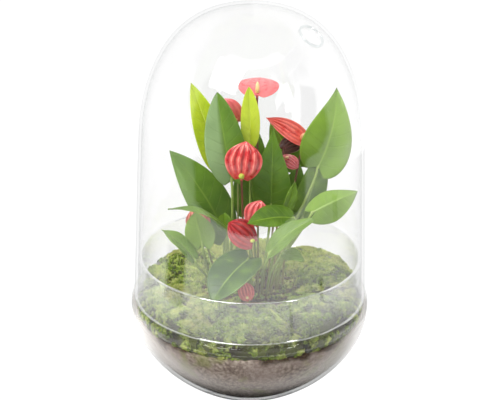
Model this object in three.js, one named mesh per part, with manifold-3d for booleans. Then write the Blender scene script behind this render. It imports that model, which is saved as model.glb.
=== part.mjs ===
// A planted glass terrarium: a round glass bowl with a raised neck, filled with potting soil and moss,
// small flamingo flower plants (anthurium) standing in it, and an egg-shaped glass dome with a round vent
// hole that slides over the neck and rests on the bowl's shoulder.
// Millimetres, +Z up, the origin at the middle of the bowl's foot. -Y is the front.

import * as THREE from "three";
import { mergeVertices } from "three/addons/utils/BufferGeometryUtils.js";
import Module from "manifold-3d";

const wasm = await Module();
wasm.setup();

// ---- driving dimensions -------------------------------------------------------------------------

const CLEARANCE = 0.3;

// glass
const WALL = 3;
const BASE_THICKNESS = 9;
const FOOT_RADIUS = 40;
const BOWL_RADIUS = 118;
const BELLY_HEIGHT = 97;
const BOWL_CURVE = { flank: 2.19, foot: 0.9 };
const SHOULDER_HEIGHT = 101.6;
const NECK_RADIUS = 110.2;
const NECK_TOP = 144.5;
const DOME_FOOT_RADIUS = 115;
const DOME_SHOULDER_RADIUS = 109.8;
const DOME_CURVE_START = 252;
const DOME_TOP = 398;
const DOME_CURVE = { rise: 2.14, flank: 2.7 };
const GLASS_SIDES = 34;

// vent hole in the dome
const VENT_CENTRE = new THREE.Vector3(54.4, -31.7, 382.3);
const VENT_AXIS = new THREE.Vector3(0.51, -0.3, 0.8).normalize();
const VENT_RADIUS = 12.5;

// soil: a flat mound in the middle, a slope, and a lower ledge along the glass that carries the moss
const MOUND_RADIUS = 46;
const MOUND_HEIGHT = 106;
const LEDGE_RADIUS = 74;
const LEDGE_HEIGHT = 84;
const HOLE_RADIUS = 1.95;
const HOLE_DEPTH = 12;
const HOLE_SIDES = 6;

// plants
const PETIOLE_RADIUS = 1.2;
const STALK_RADIUS = 1;
const BLADE_THICKNESS = 0.9;
const SPATHE_THICKNESS = 0.8;
const TIP_HALF_WIDTH = 0.6;
const RIB_HEIGHT = 0.45;

// ---- colours ------------------------------------------------------------------------------------

const LEAF_DEEP = 0x4a7526;
const LEAF_MID = 0x5f8a30;
const LEAF_BRIGHT = 0x76a01f;
const LEAF_LIME = 0xb4cc3c;
const SPADIX_CREAM = 0xf2d28c;
const SPADIX_GREEN = 0xb9bd3a;
const SPADIX_PEACH = 0xe0966e;
const STALK_GREEN = 0x7d9440;
const STALK_BROWN = 0x6b3a2a;

// ---- helpers ------------------------------------------------------------------------------------

const up = new THREE.Vector3(0, 0, 1);
const vec = (xyz) => new THREE.Vector3(...xyz);
const mix = (a, b, share) => a + (b - a) * share;

function material(colour, roughness, options = {}) {
  return new THREE.MeshStandardMaterial({ color: colour, roughness, metalness: 0, ...options });
}

const part = new THREE.Group();

function addMesh(name, geometry, finish) {
  const mesh = new THREE.Mesh(geometry, finish);
  mesh.name = name;
  part.add(mesh);
}

// A closed skin through rings of points. Both faces of a flat blade are split by the same diagonals,
// so the first half of each quad ring uses one diagonal and the second half the other.
function loft(rings) {
  const count = rings[0].length;
  const last = rings.length - 1;
  const points = rings.flat();
  const faces = [];
  for (let row = 0; row < last; row++) {
    for (let k = 0; k < count; k++) {
      const a = row * count + k;
      const b = row * count + ((k + 1) % count);
      const c = b + count;
      const d = a + count;
      if (k < count / 2 - 0.5) faces.push(a, b, c, a, c, d);
      else faces.push(a, b, d, b, c, d);
    }
  }
  for (const row of [0, last]) {
    const middle = points.length;
    points.push(rings[row].reduce((sum, p) => sum.add(p), new THREE.Vector3()).divideScalar(count));
    for (let k = 0; k < count; k++) {
      const a = row * count + k;
      const b = row * count + ((k + 1) % count);
      if (row === 0) faces.push(middle, b, a);
      else faces.push(middle, a, b);
    }
  }
  const geometry = new THREE.BufferGeometry().setFromPoints(points);
  geometry.setIndex(signedVolume(points, faces) < 0 ? faces.reverse() : faces);
  geometry.computeVertexNormals();
  return geometry;
}

function signedVolume(points, faces) {
  let sum = 0;
  for (let i = 0; i < faces.length; i += 3) {
    const [a, b, c] = [faces[i], faces[i + 1], faces[i + 2]].map((index) => points[index]);
    sum += a.dot(new THREE.Vector3().crossVectors(b, c));
  }
  return sum / 6;
}

// A profile of [radius, height] pairs turned round the Z axis.
function turned(profile, sides) {
  const points = profile.map(([radius, height]) => new THREE.Vector2(radius, height));
  return new THREE.LatheGeometry(points, sides).rotateX(Math.PI / 2);
}

function toSolid(geometry) {
  const bare = geometry.index ? geometry.toNonIndexed() : geometry.clone();
  const skin = new THREE.BufferGeometry().setAttribute("position", bare.getAttribute("position"));
  const merged = mergeVertices(skin, 1e-3);
  const corners = [];
  for (let i = 0; i < merged.index.count; i += 3) {
    const face = [0, 1, 2].map((k) => merged.index.getX(i + k));
    if (new Set(face).size === 3) corners.push(...face);
  }
  const vertProperties = new Float32Array(merged.getAttribute("position").array);
  return new wasm.Manifold(new wasm.Mesh({ numProp: 3, vertProperties, triVerts: new Uint32Array(corners) }));
}

function toGeometry(solid) {
  const mesh = solid.getMesh();
  const geometry = new THREE.BufferGeometry();
  const positions = new Float32Array((mesh.vertProperties.length / mesh.numProp) * 3);
  for (let i = 0; i < positions.length / 3; i++) {
    for (let k = 0; k < 3; k++) positions[3 * i + k] = mesh.vertProperties[i * mesh.numProp + k];
  }
  geometry.setAttribute("position", new THREE.BufferAttribute(positions, 3));
  geometry.setIndex(Array.from(mesh.triVerts));
  geometry.computeVertexNormals();
  return geometry;
}

// ---- glass --------------------------------------------------------------------------------------

// The bowl's outer flank swells from the foot to the belly, steep at the belly and flat at the foot.
function bowlRadius(height) {
  const share = Math.min(1, height / BELLY_HEIGHT);
  const swell = Math.pow(1 - Math.pow(1 - share, BOWL_CURVE.flank), BOWL_CURVE.foot);
  return mix(FOOT_RADIUS, BOWL_RADIUS, swell);
}

// The inner flank keeps the wall's thickness square to the slope.
function bowlInnerRadius(height) {
  const slope = bowlRadius(height + 0.5) - bowlRadius(height - 0.5);
  return bowlRadius(height) - WALL * Math.hypot(1, slope);
}

function bowlProfile() {
  const flank = [0, 3, 8, 16, 28, 42, 58, 76].map((height) => [bowlRadius(height), height]);
  const shoulder = [
    [BOWL_RADIUS, BELLY_HEIGHT - 3],
    [BOWL_RADIUS - 0.8, SHOULDER_HEIGHT - 1.2],
    [BOWL_RADIUS - 2.4, SHOULDER_HEIGHT],
  ];
  const neck = [
    [NECK_RADIUS, SHOULDER_HEIGHT],
    [NECK_RADIUS, NECK_TOP - 1],
    [NECK_RADIUS - WALL / 2, NECK_TOP],
    [NECK_RADIUS - WALL, NECK_TOP - 1],
    [NECK_RADIUS - WALL, SHOULDER_HEIGHT - 1],
    [BOWL_RADIUS - WALL - 1.6, BELLY_HEIGHT - 0.5],
  ];
  const inside = [90, 76, 58, 42, 28, 18].map((height) => [bowlInnerRadius(height), height]);
  const bottom = [
    [bowlInnerRadius(BASE_THICKNESS + 3) - 4, BASE_THICKNESS + 1.5],
    [FOOT_RADIUS, BASE_THICKNESS],
  ];
  return [[0, 0], ...flank, ...shoulder, ...neck, ...inside, ...bottom, [0, BASE_THICKNESS]];
}

const DOME_FOOT_HEIGHT = SHOULDER_HEIGHT + CLEARANCE;

// The dome's wall leans in a little, and its cap is a rounded superellipse. "inset" is the wall's
// thickness for the inner face and 0 for the outer one.
function domeWall(height, inset) {
  const share = (height - DOME_FOOT_HEIGHT) / (DOME_CURVE_START - DOME_FOOT_HEIGHT);
  return mix(DOME_FOOT_RADIUS, DOME_SHOULDER_RADIUS, share) - inset;
}

function domeCap(share, inset) {
  const height = mix(DOME_CURVE_START, DOME_TOP - inset, share);
  const fall = Math.pow(1 - Math.pow(share, DOME_CURVE.rise), 1 / DOME_CURVE.flank);
  return [(DOME_SHOULDER_RADIUS - inset) * fall, height];
}

function domeProfile() {
  const shares = [0, 0.18, 0.34, 0.49, 0.62, 0.74, 0.84, 0.915, 0.965, 0.992];
  const wall = [DOME_FOOT_HEIGHT + 1, 180];
  const inner = shares.map((share) => domeCap(share, WALL)).reverse();
  const innerWall = wall.map((height) => [domeWall(height, WALL), height]).reverse();
  const foot = [
    [domeWall(DOME_FOOT_HEIGHT, WALL) + 0.8, DOME_FOOT_HEIGHT],
    [domeWall(DOME_FOOT_HEIGHT, 0) - 0.8, DOME_FOOT_HEIGHT],
  ];
  const outerWall = wall.map((height) => [domeWall(height, 0), height]);
  const outer = shares.map((share) => domeCap(share, 0));
  return [[0, DOME_TOP - WALL], ...inner, ...innerWall, ...foot, ...outerWall, ...outer, [0, DOME_TOP]];
}

function ventCutter() {
  const cutter = new THREE.CylinderGeometry(VENT_RADIUS, VENT_RADIUS, 30, 24);
  const turn = new THREE.Quaternion().setFromUnitVectors(new THREE.Vector3(0, 1, 0), VENT_AXIS);
  return cutter.applyQuaternion(turn).translate(...VENT_CENTRE);
}

function addGlass() {
  const finish = { transparent: true, opacity: 0.18 };
  addMesh("glass_bowl", turned(bowlProfile(), GLASS_SIDES), material(0xe4ece8, 0.04, finish));
  const dome = toSolid(turned(domeProfile(), GLASS_SIDES)).subtract(toSolid(ventCutter()));
  addMesh("glass_dome", toGeometry(dome), material(0xeef2f0, 0.03, finish));
}

// ---- leaves -------------------------------------------------------------------------------------

// Half the width of a blade at "share" of its length, as a part of the widest half: the widest place
// lies a third of the way up, and "taper" draws the tip out.
function outline(share, taper) {
  const widest = 0.45 / (0.45 + taper);
  const bulge = (s) => Math.pow(s + 0.02, 0.45) * Math.pow(1 - s, taper);
  return bulge(share) / bulge(widest);
}

// The middle line of a blade: from its base to its tip, arched towards the side it faces and bowed
// sideways.
function midrib(blade) {
  const base = vec(blade.base);
  const tip = vec(blade.tip);
  const along = tip.clone().sub(base).normalize();
  const facing = vec(blade.facing).normalize();
  facing.addScaledVector(along, -facing.dot(along)).normalize();
  const side = new THREE.Vector3().crossVectors(along, facing);
  const control = base.clone().lerp(tip, 0.55);
  control.addScaledVector(facing, 2 * blade.arch).addScaledVector(side, 2 * blade.bow);
  return { curve: new THREE.QuadraticBezierCurve3(base, control, tip), facing };
}

// One ring of a blade: "across" points over its upper face and as many back under its lower face. The
// halves fold up from the middle line and droop at the rim, the rim waves, the base runs down into two
// lobes, and ridges stand on every other point of a ribbed blade.
function bladeRing(blade, spine, share, across) {
  const point = spine.curve.getPoint(share);
  const along = spine.curve.getTangent(share);
  const side = new THREE.Vector3().crossVectors(along, spine.facing).normalize();
  const normal = new THREE.Vector3().crossVectors(side, along);
  const half = Math.max(TIP_HALF_WIDTH, (blade.width / 2) * outline(share, blade.taper));
  const upper = [];
  for (let k = 0; k < across; k++) {
    const u = -1 + (2 * k) / (across - 1);
    const sweep = blade.lobe * Math.pow(Math.abs(u), 1.5) * Math.pow(1 - share, 4);
    const wave = blade.wave * u * u * Math.sin(2 * Math.PI * (blade.waves * share + 0.3 * u));
    const ridge = blade.ribs * Math.cos(Math.PI * k) * Math.sin(Math.PI * share);
    const lift = half * (blade.fold * Math.abs(u) - blade.droop * u * u) + wave + ridge;
    upper.push(
      point.clone().addScaledVector(side, u * half).addScaledVector(normal, lift).addScaledVector(along, -sweep),
    );
  }
  const lower = upper.map((p) => p.clone().addScaledVector(normal, -blade.thickness)).reverse();
  return [...upper, ...lower];
}

// A ring of "count" points round a stem, its first points on the side that meets the upper face.
function stemRing(point, along, side, radius, count) {
  const normal = new THREE.Vector3().crossVectors(side, along);
  return Array.from({ length: count }, (_, k) => {
    const angle = Math.PI - ((k + 0.5) * 2 * Math.PI) / count;
    return point
      .clone()
      .addScaledVector(side, radius * Math.cos(angle))
      .addScaledVector(normal, radius * Math.sin(angle));
  });
}

function rootPoint([x, y]) {
  return new THREE.Vector3(x, y, soilTop(Math.hypot(x, y)) - HOLE_DEPTH + CLEARANCE);
}

// The rings of a stem: straight up through its hole in the soil, then in a bow to its end, where it
// arrives along "arrival". "side" is the sideways direction at its end, carried down without a twist.
function stemRings(root, end, arrival, side, { steps, radius, count, bend }) {
  const foot = rootPoint(root);
  const ground = foot.clone().addScaledVector(up, HOLE_DEPTH);
  const reach = ground.distanceTo(end);
  const bow = new THREE.CubicBezierCurve3(
    ground,
    ground.clone().addScaledVector(up, 0.4 * reach),
    end.clone().addScaledVector(arrival, -Math.min(bend, 0.3 * reach)),
    end,
  );
  const stations = [[foot, up]];
  for (let step = 0; step <= steps; step++) {
    stations.push([bow.getPoint(step / steps), bow.getTangent(step / steps)]);
  }
  let across = side;
  const rings = [];
  for (const [point, along] of stations.reverse()) {
    across = across.clone().addScaledVector(along, -across.dot(along)).normalize();
    rings.unshift(stemRing(point, along, across, radius, count));
  }
  return rings;
}

const LEAF_DEFAULTS = {
  thickness: BLADE_THICKNESS,
  taper: 0.9,
  arch: 5,
  bow: 0,
  fold: 0.3,
  droop: 0.12,
  lobe: 7,
  wave: 0.8,
  waves: 1.5,
  ribs: 0,
  swing: 0.4,
};
const BLADE_STEPS = 7;
const BLADE_ACROSS = 5;
const BLADE_ROOT = 2.5;
const PETIOLE = { steps: 4, radius: PETIOLE_RADIUS, count: 2 * BLADE_ACROSS, bend: 30 };

function leafGeometry(leaf) {
  const spine = midrib(leaf);
  const blade = [];
  for (let step = 0; step <= BLADE_STEPS; step++) {
    blade.push(bladeRing(leaf, spine, step / BLADE_STEPS, BLADE_ACROSS));
  }
  const start = spine.curve.getTangent(0);
  const end = vec(leaf.base).addScaledVector(start, -BLADE_ROOT);
  const arrival = start.clone().multiplyScalar(leaf.swing).addScaledVector(up, 1 - leaf.swing).normalize();
  const side = new THREE.Vector3().crossVectors(start, spine.facing).normalize();
  return loft([...stemRings(leaf.root, end, arrival, side, PETIOLE), ...blade]);
}

// Each leaf: where its petiole enters the soil, where the blade starts and ends, its greatest width,
// the way its upper face looks, and what sets its form apart from the defaults.
const leaves = [
  {
    name: "leaf_lime_left",
    colour: LEAF_LIME,
    root: [-26, 25],
    base: [-31, 24, 228],
    tip: [-59, 20, 316],
    width: 30,
    facing: [0.2, -1, 0.3],
  },
  {
    name: "leaf_tall_left",
    colour: LEAF_DEEP,
    root: [-19, 4],
    base: [-19, -12, 230],
    tip: [-33, -8, 317],
    width: 39,
    facing: [-0.1, -1, 0.35],
    taper: 0.8,
  },
  {
    name: "leaf_broad_left",
    colour: LEAF_DEEP,
    root: [-27, 17],
    base: [-25, 18, 156],
    tip: [-80, 16, 247],
    width: 46,
    facing: [0.5, -0.9, 0.45],
    arch: 11,
    fold: 0.2,
  },
  {
    name: "leaf_turned_left",
    colour: LEAF_MID,
    root: [-41, 9],
    base: [-47, -20, 164],
    tip: [-54, -19, 197],
    width: 30,
    facing: [0.1, 1, 0.2],
    fold: 0.12,
    arch: 1,
  },
  {
    name: "leaf_arching_left",
    colour: LEAF_MID,
    root: [-12, -7],
    base: [-15, -30, 175],
    tip: [-79, -44, 211],
    width: 18,
    facing: [0.37, 0.15, 0.9],
    arch: 10,
    swing: 0.6,
  },
  {
    name: "leaf_low_left",
    colour: LEAF_MID,
    root: [-41, -3],
    base: [-55, -31, 153],
    tip: [-86, -24, 180],
    width: 22,
    facing: [0.5, -0.3, 0.8],
    arch: 3,
    lobe: 4,
  },
  {
    name: "leaf_young_left",
    colour: LEAF_BRIGHT,
    root: [-19, -3],
    base: [-23, -6, 166],
    tip: [-26, -8, 191],
    width: 17,
    facing: [-0.1, -1, 0.4],
    taper: 0.6,
    arch: 2,
    lobe: 3,
  },
  {
    name: "leaf_front",
    colour: LEAF_MID,
    root: [0, -15],
    base: [-3, -44, 158],
    tip: [-36, -82, 130],
    width: 46,
    facing: [-0.2, -0.4, 1],
    lobe: 10,
  },
  {
    name: "leaf_centre",
    colour: LEAF_DEEP,
    root: [14, 3],
    base: [20, 4, 196],
    tip: [21, 0, 281],
    width: 38,
    facing: [0, -1, 0.25],
    taper: 1.45,
  },
  {
    name: "leaf_lime_centre",
    colour: LEAF_LIME,
    root: [0, 4],
    base: [-1, -2, 260],
    tip: [-3, -6, 322],
    width: 19,
    facing: [0.15, -1, 0.2],
    taper: 0.7,
    arch: 3,
    lobe: 1,
  },
  {
    name: "leaf_shade_centre",
    colour: LEAF_DEEP,
    root: [-4, 16],
    base: [-2, 28, 176],
    tip: [6, 32, 263],
    width: 36,
    facing: [0, -1, 0.2],
  },
  {
    name: "leaf_bright_back",
    colour: LEAF_BRIGHT,
    root: [26, 21],
    base: [46, 50, 219],
    tip: [19, 54, 264],
    width: 32,
    facing: [0, -1, 0.3],
  },
  {
    name: "leaf_tall_right",
    colour: LEAF_MID,
    root: [28, -1],
    base: [66, 4, 238],
    tip: [81, 8, 317],
    width: 49,
    facing: [-0.25, -1, 0.25],
    lobe: 9,
    fold: 0.36,
    taper: 1.12,
    bow: 5.5,
  },
  {
    name: "leaf_pale_right",
    colour: LEAF_MID,
    root: [25, 12],
    base: [52, 18, 177],
    tip: [71, 24, 248],
    width: 29,
    facing: [0.1, -1, 0.2],
  },
  {
    name: "leaf_shade_right",
    colour: LEAF_DEEP,
    root: [21, 20],
    base: [34, 35, 177],
    tip: [49, 41, 223],
    width: 26,
    facing: [0.1, -1, 0.3],
  },
  {
    name: "leaf_narrow_right",
    colour: LEAF_BRIGHT,
    root: [19, -3],
    base: [33, -12, 193],
    tip: [43, -10, 227],
    width: 14,
    facing: [0.5, -0.8, 0.3],
    arch: 2,
    lobe: 2,
  },
  {
    name: "leaf_reaching_right",
    colour: LEAF_MID,
    root: [26, -7],
    base: [62, -20, 200],
    tip: [104, -6, 215],
    width: 32,
    facing: [0, -0.7, 0.7],
    arch: 3,
    lobe: 9,
    fold: -0.6,
    droop: 0,
  },
  {
    name: "leaf_bright_front",
    colour: LEAF_BRIGHT,
    root: [21, -12],
    base: [40, -34, 199],
    tip: [-3, -58, 203],
    width: 29,
    facing: [-0.05, -0.5, 0.85],
    arch: 4,
    lobe: 4,
  },
  {
    name: "leaf_low_right",
    colour: LEAF_BRIGHT,
    root: [12, -16],
    base: [20, -69, 180],
    tip: [61, -67, 213],
    width: 24,
    facing: [-0.3, -0.4, 0.85],
  },
  {
    name: "leaf_small_front",
    colour: LEAF_MID,
    root: [17, -21],
    base: [33, -50, 168],
    tip: [52, -60, 165],
    width: 15,
    facing: [0, -0.5, 0.85],
    arch: 3,
    lobe: 2,
  },
];

function addLeaves() {
  for (const leaf of leaves) {
    addMesh(leaf.name, leafGeometry({ ...LEAF_DEFAULTS, ...leaf }), material(leaf.colour, 0.42));
  }
}

// ---- flowers ------------------------------------------------------------------------------------

const SPATHE_DEFAULTS = {
  thickness: SPATHE_THICKNESS,
  ribs: RIB_HEIGHT,
  taper: 0.55,
  arch: 3,
  bow: 0,
  fold: 0.1,
  droop: 0.25,
  lobe: 5,
  wave: 0,
  waves: 0,
  swing: 0.5,
  spadix: { length: 12, radius: 2.2, lean: 0.5, colour: SPADIX_CREAM },
};
const SPATHE_STEPS = 6;
const SPATHE_ACROSS = 11;
const CLAW_LENGTH = 3;
const CLAW_RADIUS = 1.4;
const STALK = { steps: 5, radius: STALK_RADIUS, count: 6, bend: 14 };
const SPADIX_LIFT = 2 * CLEARANCE;
const SPADIX_SIDES = 8;
const SPADIX_RINGS = 7;

// The stalk comes up into the spathe from below and, by "swing", from behind.
function stalkArrival(flower, facing) {
  return up.clone().addScaledVector(facing, flower.swing).normalize();
}

function spatheGeometry(flower) {
  const spine = midrib(flower);
  const along = spine.curve.getTangent(0);
  const arrival = stalkArrival(flower, spine.facing);
  const side = new THREE.Vector3().crossVectors(along, spine.facing);
  side.addScaledVector(arrival, -side.dot(arrival)).normalize();
  const clawEnd = vec(flower.base).addScaledVector(arrival, -CLAW_LENGTH);
  const rings = [stemRing(clawEnd, arrival, side, CLAW_RADIUS, 2 * SPATHE_ACROSS)];
  for (let step = 0; step <= SPATHE_STEPS; step++) {
    rings.push(bladeRing(flower, spine, step / SPATHE_STEPS, SPATHE_ACROSS));
  }
  return loft(rings);
}

// The spadix is a blunt finger whose surface is a lattice of small raised florets.
function spadixGeometry(flower) {
  const { length, radius, lean, lift = SPADIX_LIFT } = flower.spadix;
  const spine = midrib(flower);
  const along = spine.curve.getTangent(0);
  const axis = spine.facing.clone().multiplyScalar(1 - lean).addScaledVector(along, lean).normalize();
  const foot = vec(flower.base)
    .addScaledVector(along, radius)
    .addScaledVector(spine.facing, lift + radius * (lean + flower.fold));
  const profile = [[0, 0]];
  for (let ring = 0; ring < SPADIX_RINGS; ring++) {
    const share = ring / SPADIX_RINGS;
    profile.push([radius * Math.sqrt(1 - Math.pow(share, 3)) * mix(0.85, 1, Math.min(1, 4 * share)), length * share]);
  }
  profile.push([0, length]);
  const geometry = turned(profile, SPADIX_SIDES);
  raiseFlorets(geometry, profile.length);
  const turn = new THREE.Quaternion().setFromUnitVectors(up, axis);
  return geometry.applyQuaternion(turn).translate(...foot);
}

// Every other vertex of the lattice stands out by a twelfth of the radius.
function raiseFlorets(geometry, rings) {
  const position = geometry.getAttribute("position");
  for (let column = 0; column <= SPADIX_SIDES; column++) {
    for (let ring = 2; ring < rings - 1; ring++) {
      const index = column * rings + ring;
      const scale = ((column % SPADIX_SIDES) + ring) % 2 ? 1.08 : 1;
      position.setXY(index, position.getX(index) * scale, position.getY(index) * scale);
    }
  }
}

function stalkGeometry(flower) {
  const spine = midrib(flower);
  const along = spine.curve.getTangent(0);
  const arrival = stalkArrival(flower, spine.facing);
  const end = vec(flower.base).addScaledVector(arrival, -CLAW_LENGTH - CLEARANCE);
  const side = new THREE.Vector3().crossVectors(along, spine.facing).normalize();
  return loft(stemRings(flower.root, end, arrival, side, STALK));
}

// Each flower: where its stalk enters the soil, where the spathe starts and where its point lies, its
// width, the way it looks, and its spadix.
const flowers = [
  {
    name: "flower_top",
    colour: 0xd9535a,
    stalk: STALK_BROWN,
    root: [8, 11],
    base: [5, 12, 308],
    tip: [8, 48, 312],
    width: 40,
    facing: [0, -0.15, 1],
    arch: 1,
    droop: 0.1,
    spadix: { length: 11, radius: 2, lean: 0.1, lift: 0.35, colour: SPADIX_CREAM },
  },
  {
    name: "flower_front",
    colour: 0xb3202a,
    stalk: STALK_BROWN,
    root: [-6, -6],
    base: [-9, -36, 241],
    tip: [-5, -30, 276],
    width: 36,
    facing: [-0.05, -1, 0.15],
    droop: 0.4,
    arch: 5,
    spadix: { length: 9, radius: 2.6, lean: 0.1, colour: SPADIX_GREEN },
  },
  {
    name: "flower_right",
    colour: 0xc8303a,
    stalk: STALK_BROWN,
    root: [33, 5],
    base: [51, 20, 258],
    tip: [14, 22, 280],
    width: 20,
    facing: [0.1, -0.75, 0.65],
    spadix: { length: 15, radius: 2.7, lean: 0.1, lift: 0.1, colour: SPADIX_PEACH },
    swing: 0.8,
    fold: 0.45,
    taper: 0.95,
  },
  {
    name: "flower_turned_right",
    colour: 0x8a3038,
    stalk: STALK_BROWN,
    root: [19, 13],
    base: [32, 31, 245],
    tip: [49, 28, 253],
    width: 23,
    facing: [0.1, 0.9, 0.4],
    spadix: { length: 10, radius: 2, lean: 0.4, colour: SPADIX_PEACH },
    swing: 1.6,
  },
  {
    name: "flower_hanging_right",
    colour: 0xa8404a,
    stalk: STALK_BROWN,
    root: [24, 6],
    base: [32, 8, 243],
    tip: [46, 4, 235],
    width: 15,
    facing: [0, -0.6, 0.8],
    spadix: { length: 7, radius: 1.5, lean: 0.2, lift: 0.75, colour: SPADIX_PEACH },
  },
  {
    name: "flower_left",
    colour: 0xd9535a,
    stalk: STALK_GREEN,
    root: [-12, 9],
    base: [-14, 8, 282],
    tip: [-27, 10, 304],
    width: 22,
    facing: [-0.2, -0.95, 0.3],
    spadix: { length: 9, radius: 1.8, lean: 0.3, colour: SPADIX_PEACH },
    swing: 1.1,
  },
  {
    name: "flower_low_left",
    colour: 0xc05a50,
    stalk: STALK_GREEN,
    root: [-34, 3],
    base: [-47, -9, 174],
    tip: [-57, -8, 195],
    width: 24,
    facing: [-0.2, -0.8, 0.5],
    spadix: { length: 7, radius: 1.7, lean: 0.6, colour: SPADIX_PEACH },
  },
  {
    name: "flower_dark_front",
    colour: 0x96202a,
    stalk: STALK_GREEN,
    root: [9, -24],
    base: [2, -50, 180],
    tip: [-21, -52, 201],
    width: 27,
    facing: [0.1, -0.8, 0.6],
    spadix: { length: 8, radius: 1.9, lean: 0.1, colour: SPADIX_GREEN },
    swing: 0.9,
  },
  {
    name: "flower_round_front",
    colour: 0xd8454e,
    stalk: STALK_GREEN,
    root: [7, -7],
    base: [3, -30, 191],
    tip: [10, -26, 213],
    width: 25,
    facing: [0.1, -1, 0.3],
    droop: 0.4,
    arch: 3,
    spadix: { length: 7, radius: 1.8, lean: 0.2, colour: SPADIX_CREAM },
  },
  {
    name: "flower_small_low",
    colour: 0xc85058,
    stalk: STALK_GREEN,
    root: [0, -36],
    base: [-2, -60, 124],
    tip: [-5, -56, 140],
    width: 16,
    facing: [0, -0.9, 0.4],
    arch: 2,
    lobe: 3,
    spadix: { length: 6, radius: 1.4, lean: 0.3, colour: SPADIX_CREAM },
  },
];

function addFlowers() {
  for (const entry of flowers) {
    const flower = { ...SPATHE_DEFAULTS, ...entry };
    addMesh(`${flower.name}_spathe`, spatheGeometry(flower), material(flower.colour, 0.3));
    addMesh(`${flower.name}_spadix`, spadixGeometry(flower), material(flower.spadix.colour, 0.6));
    addMesh(`${flower.name}_stalk`, stalkGeometry(flower), material(flower.stalk, 0.5));
  }
}

// ---- soil and moss ------------------------------------------------------------------------------

function soilTop(radius) {
  const share = Math.min(1, Math.max(0, (radius - MOUND_RADIUS) / (LEDGE_RADIUS - MOUND_RADIUS)));
  return mix(MOUND_HEIGHT, LEDGE_HEIGHT, share);
}

// The largest radius that stays clear of a glass wall of the given radius and its flat facets.
function insideGlass(radius) {
  return radius * Math.cos(Math.PI / GLASS_SIDES) - CLEARANCE;
}

// The soil fills the bowl up to the ledge, and has a plain round hole for each stem.
function addSoil() {
  const bottom = BASE_THICKNESS + CLEARANCE;
  const flank = [18, 28, 42, 58, 76, LEDGE_HEIGHT].map((height) => [bowlInnerRadius(height) - 1, height]);
  const foot = [bowlInnerRadius(BASE_THICKNESS + 3) - 5, BASE_THICKNESS + 2.5];
  const top = [
    [LEDGE_RADIUS, LEDGE_HEIGHT],
    [MOUND_RADIUS, MOUND_HEIGHT],
    [0, MOUND_HEIGHT],
  ];
  const profile = [[0, bottom], [FOOT_RADIUS - 1, bottom], foot, ...flank, ...top];
  let soil = toSolid(turned(profile, GLASS_SIDES));
  for (const { root } of [...leaves, ...flowers]) {
    const hole = new THREE.CylinderGeometry(HOLE_RADIUS, HOLE_RADIUS, 2 * HOLE_DEPTH, HOLE_SIDES)
      .rotateX(Math.PI / 2)
      .translate(root[0], root[1], soilTop(Math.hypot(...root)));
    soil = soil.subtract(toSolid(hole));
  }
  addMesh("soil", toGeometry(soil), material(0x4a3d30, 0.95));
}

// Moss cushions lie on the ledge, between the mound and the glass. Each spans part of the circle, is
// highest in its middle and falls off to a furrow at both ends. Its top is a field of small hummocks.
const MOSS_INNER_RADIUS = 49;
const MOSS_STEPS = 9;
const MOSS_TOP_POINTS = 6;
const FURROW_DEPTH = 9;
const HUMMOCK_HEIGHT = 3.2;

function mossRing(angle, step, height) {
  const bowlWall = insideGlass(BOWL_RADIUS - WALL - 1.6);
  const neckWall = insideGlass(NECK_RADIUS - WALL);
  const top = [];
  for (let k = 0; k < MOSS_TOP_POINTS; k++) {
    const share = k / (MOSS_TOP_POINTS - 1);
    const hummock = (k + step) % 2 ? 0 : HUMMOCK_HEIGHT * (0.6 + 0.4 * Math.sin(7 * angle + 2 * k));
    const crown = mix(height, MOUND_HEIGHT + 1, Math.pow(share, 2.2)) - 5 * Math.pow(1 - share, 6);
    top.push([mix(neckWall - 0.5, MOSS_INNER_RADIUS + 1.5, share), crown + hummock]);
  }
  const section = [
    [MOSS_INNER_RADIUS, soilTop(MOSS_INNER_RADIUS) + CLEARANCE],
    [LEDGE_RADIUS, LEDGE_HEIGHT + CLEARANCE],
    [insideGlass(bowlInnerRadius(LEDGE_HEIGHT)) - 0.5, LEDGE_HEIGHT + CLEARANCE],
    [bowlWall, BELLY_HEIGHT - 1.5],
    [neckWall, SHOULDER_HEIGHT - 1.5],
    ...top,
  ];
  return section.map(([radius, z]) => new THREE.Vector3(radius * Math.cos(angle), radius * Math.sin(angle), z));
}

const mossCushions = [
  { name: "moss_front", from: -115, to: -62, height: 108 },
  { name: "moss_front_right", from: -60, to: -13, height: 111 },
  { name: "moss_right", from: -11, to: 61, height: 118 },
  { name: "moss_back", from: 63, to: 118, height: 113 },
  { name: "moss_back_left", from: 120, to: 176, height: 116 },
  { name: "moss_front_left", from: 178, to: 243, height: 111 },
];

function addMoss() {
  for (const cushion of mossCushions) {
    const rings = [];
    for (let step = 0; step <= MOSS_STEPS; step++) {
      const share = step / MOSS_STEPS;
      const angle = THREE.MathUtils.degToRad(mix(cushion.from, cushion.to, share));
      const fall = FURROW_DEPTH * Math.pow(Math.abs(2 * share - 1), 5);
      rings.push(mossRing(angle, step, cushion.height - fall));
    }
    addMesh(cushion.name, loft(rings), material(0x7d9433, 0.95));
  }
}

addGlass();
addSoil();
addMoss();
addLeaves();
addFlowers();

export default part;
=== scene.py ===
# %% [markdown]
# # A planted glass terrarium
#
# A terrarium of this kind is a round glass bowl of potting soil and moss, a few small flamingo flower
# plants, and an egg-shaped glass dome that slides over the bowl's neck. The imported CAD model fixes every
# size and place. This lesson dresses it: each coarse node is replaced by a finer piece of the same form,
# and each piece gets a finish that is built from nodes.

# %% Load the frame
import math

import bpy
import numpy as np
from mathutils import Matrix, Vector, noise


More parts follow.
